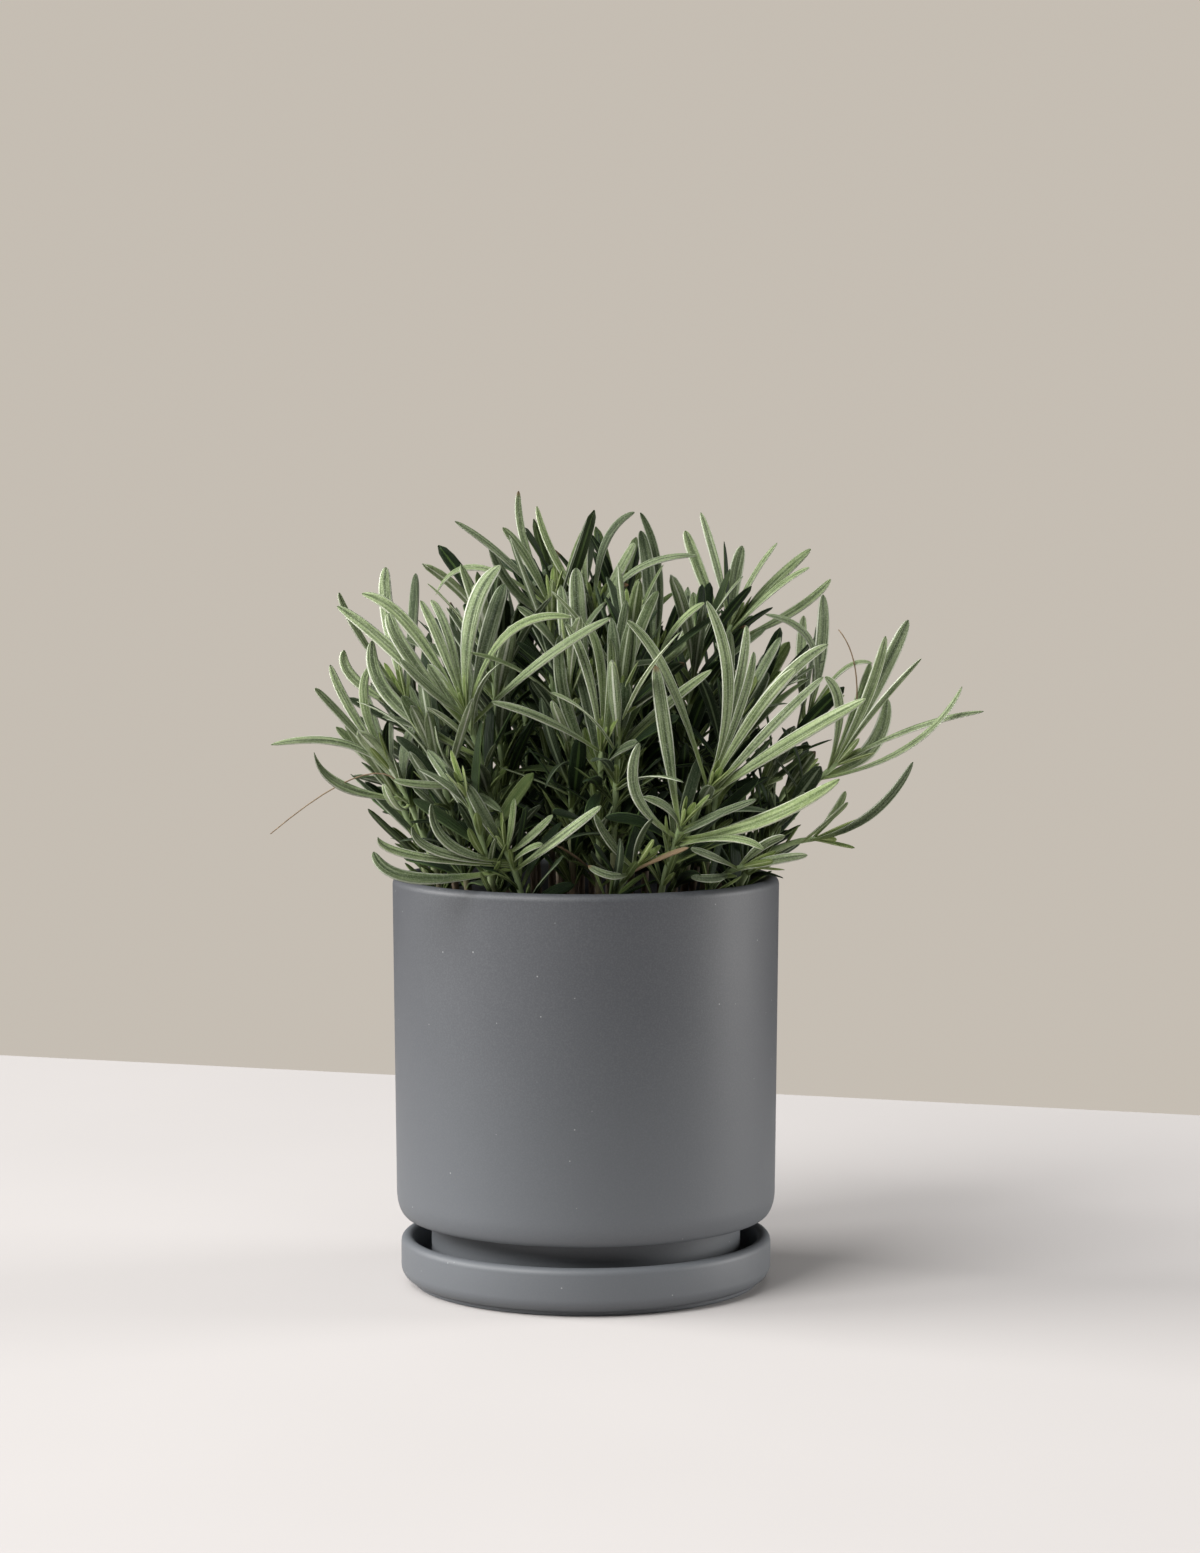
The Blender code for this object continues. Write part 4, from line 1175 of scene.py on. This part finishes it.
def make_saucer():
    foot_r = SAUCER_R - SAUCER_FOOT_INSET
    small = SAUCER_INNER_CORNER
    large = SAUCER_CORNER
    inner_r = SAUCER_R - SAUCER_WALL - small
    inner_corner = rounded((inner_r, SAUCER_BASE + small), small, small, 270, 360, CORNER_STEPS)
    outer_corner = rounded((SAUCER_R - large, SAUCER_FOOT_H + large), large, large, 0, -90, CORNER_STEPS)
    profile = [(0.0, SAUCER_BASE)] + inner_corner + lip(SAUCER_R, SAUCER_H, SAUCER_WALL)
    profile += [point for point in outer_corner if point[0] > foot_r]
    profile += [(foot_r, SAUCER_FOOT_H)] + foot_edge(foot_r, 0.0) + [(0.0, 0.0)]
    return turned("glazed_saucer", profile)


def make_pot():
    inner_r = POT_R - POT_WALL
    foot_inner_r = POT_FOOT_R - POT_WALL
    floor = POT_Z + POT_BASE
    step = SHOULDER_Z + POT_WALL
    centre = (POT_R - POT_CORNER_OUT, SHOULDER_Z + POT_CORNER_UP)
    shoulder = rounded(centre, POT_CORNER_OUT, POT_CORNER_UP, 0, -90, CORNER_STEPS)
    profile = taper(lip(POT_R, RIM_Z, POT_WALL) + shoulder)
    profile += [(POT_FOOT_R, SHOULDER_Z)] + foot_edge(POT_FOOT_R, POT_Z)
    profile += [(DRAIN_R, POT_Z), (DRAIN_R, floor), (foot_inner_r, floor), (foot_inner_r, step)]
    profile += taper([(inner_r, step + POT_WALL)])
    return turned("glazed_pot", profile, closed=True)


# ---- Potting mix -------------------------------------------------------------------------------------

SOIL_SEED = 5
SOIL_RINGS = 24               # across the soil's top
SOIL_ROUGH = 1.3 * MM
SOIL_JITTER = 0.3 * MM        # of single points in its surface
CRUMBS = 520
CRUMB_SIZE = (0.5 * MM, 2.3 * MM)
CRUMB_HEIGHT = (0.5, 1.0)     # as a share of a crumb's size
PERLITE_GRAINS = 22
PERLITE_SIZE = (0.5 * MM, 1.3 * MM)
PERLITE_HEIGHT = (0.7, 1.1)
GRAIN_LENGTH = (0.7, 1.5)     # the same for both kinds of grain, as a share of their size
GRAIN_WIDTH = (0.6, 1.1)
GRAIN_BUMPS = (0.75, 1.2)
GRAIN_LIFT = 0.4              # of its middle above the soil, as a share of its height


def soil_height(x, y):
    """Height of the soil's gently lumpy surface, from the flat top of the model's soil."""
    broad = 0.5 * math.sin(x / (7 * MM) + 1.3) * math.sin(y / (6 * MM) - 0.4)
    fine = 0.3 * math.sin(x / (2.6 * MM)) * math.cos(y / (3.1 * MM) + 0.8)
    return SOIL_ROUGH * (broad + fine - 0.5)


def make_soil():
    """A disc of soil, down to the pot's floor, with an uneven top."""
    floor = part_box("potting_soil")[0].z
    floor_r = POT_FOOT_R - POT_WALL - GAP
    step = SHOULDER_Z + POT_WALL + GAP
    rings = [(SOIL_R * k / SOIL_RINGS, SOIL_Z) for k in range(SOIL_RINGS + 1)]
    profile = rings + taper([(POT_R - POT_WALL - GAP, step + POT_WALL)])
    profile += [(floor_r, step), (floor_r, floor), (0.0, floor)]
    soil = turned("potting_mix", profile)
    dice = random.Random(SOIL_SEED)
    for point in soil.data.vertices:
        if point.co.z > SOIL_Z - GAP:
            jitter = dice.uniform(-SOIL_JITTER, SOIL_JITTER)
            point.co.z += soil_height(point.co.x, point.co.y) + jitter
    return soil


def scattered(name, count, sizes, heights, dice):
    """Uneven grains that lie on the soil, copied from one that is modelled once."""
    deselect_all()
    bpy.ops.mesh.primitive_ico_sphere_add(subdivisions=1, radius=1.0, location=(0, 0, 0))
    master = bpy.context.object
    whole = np.array([point.co for point in master.data.vertices])
    grains = []
    for _ in range(count):
        grain = copy_of(master)
        size = dice.uniform(*sizes)
        reach = math.sqrt(dice.random()) * (SOIL_R - 2 * size)
        turn = dice.uniform(0, 2 * math.pi)
        x, y = reach * math.cos(turn), reach * math.sin(turn)
        stretch = [dice.uniform(*share) * size for share in (GRAIN_LENGTH, GRAIN_WIDTH, heights)]
        lean = dice.uniform(0, math.pi)
        bumps = np.array([dice.uniform(*GRAIN_BUMPS) for _ in whole])[:, None]
        shape = whole * bumps * stretch
        cos, sin = math.cos(lean), math.sin(lean)
        z = SOIL_Z + soil_height(x, y) + stretch[2] * GRAIN_LIFT
        placed_shape = np.stack([
            x + shape[:, 0] * cos - shape[:, 1] * sin,
            y + shape[:, 0] * sin + shape[:, 1] * cos,
            z + shape[:, 2],
        ], 1)
        grain.data.vertices.foreach_set("co", placed_shape.ravel())
        grains.append(grain)
    bpy.data.objects.remove(master, do_unlink=True)
    return joined(grains, name)


# ---- Foliage -----------------------------------------------------------------------------------------

LEAF_SECTIONS = 8             # along a leaf that grows by rule
LONG_LEAF_SECTIONS = 16       # and along a listed one
TOWARDS_TIP = 1.35            # sections crowd towards the tip, where the outline turns
LEAF_FOOT = 0.32              # width of a leaf at its foot, as a share of the full width
LEAF_WIDENS = 0.55            # how far along it reaches the full width
LEAF_CORNERS = 8
LEAF_BLUNT = (7, 10)          # the higher, the blunter the tip: in width and in thickness
LEAF_TIP = (0.10, 0.35)       # least width and thickness, as shares of the full ones
GROOVE_HEIGHT = 0.15          # of the groove's bottom, as a share of half the leaf's thickness
KEEL_HEIGHT = 0.72            # of the keel below, the same
KEEL_LENGTH = 0.86            # of the leaf's underside, as a share of the leaf
STEM_SECTIONS = 10
STEM_CORNERS = 8
STEM_SWELL = 0.12
ON_AXIS = 1e-4                # points nearer to it than this are on it, on a bar of length and radius 1
TONE_SEED = 7
PLACED_LIT_TONES = (0.4, 1.0)     # painted light: listed leaves are made at least this pale
YOUNG = (0.05, 0.12)          # how young full-grown leaves look: mean and spread

# thin dead stalks that stand out of the crown: start, bend and end, in millimetres as for the listed shoots,
# and radius
THREADS = (
    ((-60, -30, 47), (-69, -32, 57), (-101, -28, 30), 0.24 * MM),
    ((88, -10, 70), (89, -10, 87), (82, -10, 95), 0.26 * MM),
)


def ring_stack(name, rings, corners):
    """A round bar along +X, drawn out ring by ring: each has a place, a width and a thickness."""
    deselect_all()
    bpy.ops.mesh.primitive_circle_add(
        vertices=corners, radius=1.0, fill_type="NGON", rotation=(0, -math.pi / 2, 0)
    )
    bar = finish_shape(bpy.context.object, name)
    bpy.ops.object.mode_set(mode="EDIT")
    bpy.ops.mesh.select_all(action="SELECT")
    bpy.ops.transform.resize(value=(1.0, *rings[0][1:]), center_override=(0, 0, 0))
    for last, ring in zip(rings, rings[1:]):
        move = {"value": (ring[0] - last[0], 0.0, 0.0)}
        bpy.ops.mesh.extrude_region_move(TRANSFORM_OT_translate=move)
        bpy.ops.transform.resize(
            value=(1.0, ring[1] / last[1], ring[2] / last[2]), center_override=(ring[0], 0, 0)
        )
    bpy.ops.mesh.select_all(action="SELECT")
    bpy.ops.mesh.normals_make_consistent(inside=False)
    return bar


def lay_out(bar, corners):
    """A UV map that runs along the bar and once round it, from the middle of its upper side."""
    bpy.ops.object.mode_set(mode="OBJECT")
    bpy.ops.object.shade_smooth()
    mesh = bar.data
    layer = mesh.uv_layers.new(name="leaf")
    for face in mesh.polygons:
        turn = math.atan2(face.center.y, face.center.z) % (2 * math.pi)
        for corner in face.loop_indices:
            co = mesh.vertices[mesh.loops[corner].vertex_index].co
            around = math.atan2(co.y, co.z) % (2 * math.pi)
            if around - turn > math.pi:
                around -= 2 * math.pi
            elif turn - around > math.pi:
                around += 2 * math.pi
            if len(face.vertices) == corners:    # an end, which looks like the margins
                around = math.pi / 2
            layer.data[corner].uv = (co.x, around / (2 * math.pi))
    mesh.attributes.new("growth_and_light", "FLOAT_COLOR", "POINT")
    return bar


def leaf_ring(s):
    """Place, width and thickness of a leaf's section. It widens from a narrow foot and has a blunt tip."""
    widened = math.sin(min(1.0, s / LEAF_WIDENS) * math.pi / 2) ** 2
    width = (LEAF_FOOT + (1 - LEAF_FOOT) * widened) * math.sqrt(1 - s ** LEAF_BLUNT[0])
    thickness = math.sqrt(1 - s ** LEAF_BLUNT[1])
    return s, max(width, LEAF_TIP[0]), max(thickness, LEAF_TIP[1])


def model_leaf(sections):
    """The leaf that all leaves are copied from, with its upper side grooved and its margins rolled."""
    rings = [leaf_ring(1 - (1 - k / sections) ** TOWARDS_TIP) for k in range(sections + 1)]
    leaf = ring_stack("leaf", rings, LEAF_CORNERS)
    select_points(leaf, lambda point: point.co.z > 0 and abs(point.co.y) < ON_AXIS)
    bpy.ops.transform.resize(value=(1.0, 1.0, GROOVE_HEIGHT), center_override=(0, 0, 0))
    select_points(leaf, lambda point: point.co.z < -ON_AXIS)
    bpy.ops.transform.resize(value=(KEEL_LENGTH, 1.0, KEEL_HEIGHT), center_override=(0.5, 0, 0))
    return lay_out(leaf, LEAF_CORNERS)


def model_stem():
    """The stem that all stems are copied from, a little thicker at each node."""
    rings = []
    for k in range(STEM_SECTIONS + 1):
        s = k / STEM_SECTIONS
        thick = (1 + (STEM_TIP_R / STEM_R - 1) * s) * (1 + STEM_SWELL * (k % 2))
        rings.append((s, thick, thick))
    return lay_out(ring_stack("stem", rings, STEM_CORNERS), STEM_CORNERS)


def laid(master, frame_at, width, thick, growth_and_light):
    """A copy of a straight master, laid along a leaf or a stem, with its growth written on it."""
    piece = copy_of(master)
    shape = np.array([point.co for point in piece.data.vertices])
    frames = {}
    for x in np.unique(np.round(shape[:, 0], 4)):
        frames[x] = [np.array(part) for part in frame_at(float(x))]
    out = []
    for x, y, z in shape:
        centre, side, up = frames[np.round(x, 4)]
        out.append(centre + side * (y * width) + up * (z * thick))
    piece.data.vertices.foreach_set("co", np.array(out).ravel())
    colour = np.tile((growth_and_light.tone, growth_and_light.young, growth_and_light.dry, 1.0), len(out))
    piece.data.attributes["growth_and_light"].data.foreach_set("color", colour)
    return piece


def stem_frame(line):
    """What gives the point on a stem's line at s, with the two directions across it."""
    def frame_at(s):
        way = bezier_way(line, s)
        a = square_to(way, STEM_AXIS)
        return bezier(line, s), a, way.cross(a)
    return frame_at


def grown_leaves(room, stems):
    """Every leaf with its growth: those that the model has too, and those that fill the shoots out."""
    dice = random.Random(TONE_SEED)
    grown = []
    for leaf in grow_placed_leaves(room, stems) + grow_pairs(room, stems):
        tone = tone_with_painted_light(leaf, dice)
        # painted light: the listed leaves are made paler
        if leaf.stations is PLACED_STATIONS:
            tone = max(tone, dice.uniform(*PLACED_LIT_TONES))
        growth_and_light = GrowthAndLight(tone, young=max(0.0, dice.gauss(*YOUNG)), dry=dryness(leaf, dice))
        grown.append((leaf, growth_and_light))
    return grown + fill_out(room, stems)


def make_foliage(leaf_material, stem_material):
    """Each shoot's leaves as one piece, and its stem as another."""
    room = Room()
    stems = grow_stems(room)
    grown = grown_leaves(room, stems)
    leaf_master = model_leaf(LEAF_SECTIONS)
    long_leaf_master = model_leaf(LONG_LEAF_SECTIONS)
    stem_master = model_stem()
    for shoot, line in stems.items():
        own = []
        for leaf, growth_and_light in grown:
            if leaf.shoot == shoot:
                master = long_leaf_master if leaf.stations is PLACED_STATIONS else leaf_master
                own.append(laid(master, leaf.frame, leaf.width / 2, LEAF_THICK / 2, growth_and_light))
        wear(joined(own, "leaves_" + shoot), leaf_material, "foliage", "shoot_" + shoot)
        stem = laid(stem_master, stem_frame(line), STEM_R, STEM_R, GrowthAndLight(0.5))
        stem.name = "stem_" + shoot
        wear(stem, stem_material, "foliage")
    threads = [
        laid(stem_master, stem_frame([placed(*point) for point in line]), radius, radius, GrowthAndLight(0.5))
        for *line, radius in THREADS
    ]
    wear(joined(threads, "dry_threads"), dead_stalk("dry_threads"), "foliage")
    for master in (leaf_master, long_leaf_master, stem_master):
        bpy.data.objects.remove(master, do_unlink=True)


# ---- Studio ------------------------------------------------------------------------------------------

CAMERA_PLACE = (4.657 * MM, -1151.6 * MM, 246.56 * MM)
CAMERA_PITCH = 0.0692         # radians down from level
LENS = 81.55
TABLE_MIDDLE = (0.0, -0.535)
TABLE_SIZE = (3.2, 1.8, 0.04)
TABLE_TURN = -0.31            # radians, so that its far edge runs down to the right
SURROUND = (0.560, 0.512, 0.450)
AMBIENT = 0.09                # how much of its brightness the surround sheds as light
AIM = (0.0, 0.0, 0.14)        # what all lights point at
DAYLIGHT = (1.0, 0.985, 0.97)
SKYLIGHT = (0.98, 0.99, 1.0)

# name: place, width and height, watts, colour
LIGHTS = {
    "window_left": ((-5.0, 0.24, 2.46), (3.8, 1.8), 368.0, DAYLIGHT),
    "window_front": ((-2.2, -2.4, 3.10), (2.4, 2.4), 220.0, DAYLIGHT),
    "sky_above": ((-0.6, -0.6, 5.66), (6.0, 6.0), 136.0, SKYLIGHT),
    "bounce_right": ((5.0, 0.60, 1.06), (2.4, 2.2), 208.0, DAYLIGHT),
}


def set_camera():
    camera = bpy.data.objects.new("camera", bpy.data.cameras.new("camera"))
    camera.location = CAMERA_PLACE
    camera.rotation_euler = (math.pi / 2 - CAMERA_PITCH, 0, 0)
    camera.data.lens = LENS
    camera.data.sensor_width = 36.0
    camera.data.clip_end = 20.0
    bpy.context.scene.collection.objects.link(camera)
    bpy.context.scene.camera = camera


def area_light(name, place, size, power, colour):
    light = bpy.data.objects.new(name, bpy.data.lights.new(name, "AREA"))
    light.data.shape = "RECTANGLE"
    light.data.size, light.data.size_y = size
    light.data.energy = power
    light.data.color = colour
    light.visible_camera = False
    light.location = place
    light.rotation_euler = (Vector(AIM) - Vector(place)).to_track_quat("-Z", "Y").to_euler()
    bpy.context.scene.collection.objects.link(light)


def set_surround():
    """A plain warm grey all round, which sheds less light than it shows."""
    world = bpy.data.worlds.new("surround")
    world.use_nodes = True
    tree = world.node_tree
    shown = tree.nodes["Background"]
    shed = tree.nodes.new("ShaderNodeBackground")
    either = tree.nodes.new("ShaderNodeMixShader")
    seen = tree.nodes.new("ShaderNodeLightPath")
    for background, strength in ((shown, 1.0), (shed, AMBIENT)):
        background.inputs["Color"].default_value = (*SURROUND, 1.0)
        background.inputs["Strength"].default_value = strength
    tree.links.new(seen.outputs["Is Camera Ray"], either.inputs[0])
    tree.links.new(shed.outputs[0], either.inputs[1])
    tree.links.new(shown.outputs[0], either.inputs[2])
    tree.links.new(either.outputs[0], tree.nodes["World Output"].inputs["Surface"])
    bpy.context.scene.world = world


def set_table():
    """A pale table top, whose upper side is at height 0."""
    deselect_all()
    bpy.ops.mesh.primitive_cube_add(
        size=1.0, location=(*TABLE_MIDDLE, -TABLE_SIZE[2] / 2),
        rotation=(0, 0, TABLE_TURN), scale=TABLE_SIZE,
    )
    table = finish_shape(bpy.context.object, "table_top")
    table.data.materials.append(pale_plaster("pale_table", (0.485, 0.467, 0.459), (0.515, 0.495, 0.487)))


def set_studio():
    """A table in front of a warm grey surround, and soft light, mostly from the left."""
    set_table()
    set_surround()
    for name, light in LIGHTS.items():
        area_light(name, *light)
    bpy.context.scene.view_settings.view_transform = "Standard"


# ---- Everything --------------------------------------------------------------------------------------


set_camera()
set_studio()
glaze = matte_glaze("matte_grey_glaze")
wear(make_pot(), glaze, "glaze", "pot")
wear(make_saucer(), glaze, "glaze", "saucer")
wear(make_soil(), potting_mix("moist_potting_mix"), "soil", "potting_soil")
grain_dice = random.Random(SOIL_SEED)
crumbs = scattered("soil_crumbs", CRUMBS, CRUMB_SIZE, CRUMB_HEIGHT, grain_dice)
wear(crumbs, potting_mix("crumbled_bark"), "soil")
grains = scattered("perlite_grains", PERLITE_GRAINS, PERLITE_SIZE, PERLITE_HEIGHT, grain_dice)
wear(grains, perlite("perlite"), "soil")
make_foliage(felted_leaf("felted_leaf"), green_stem("square_stem"))
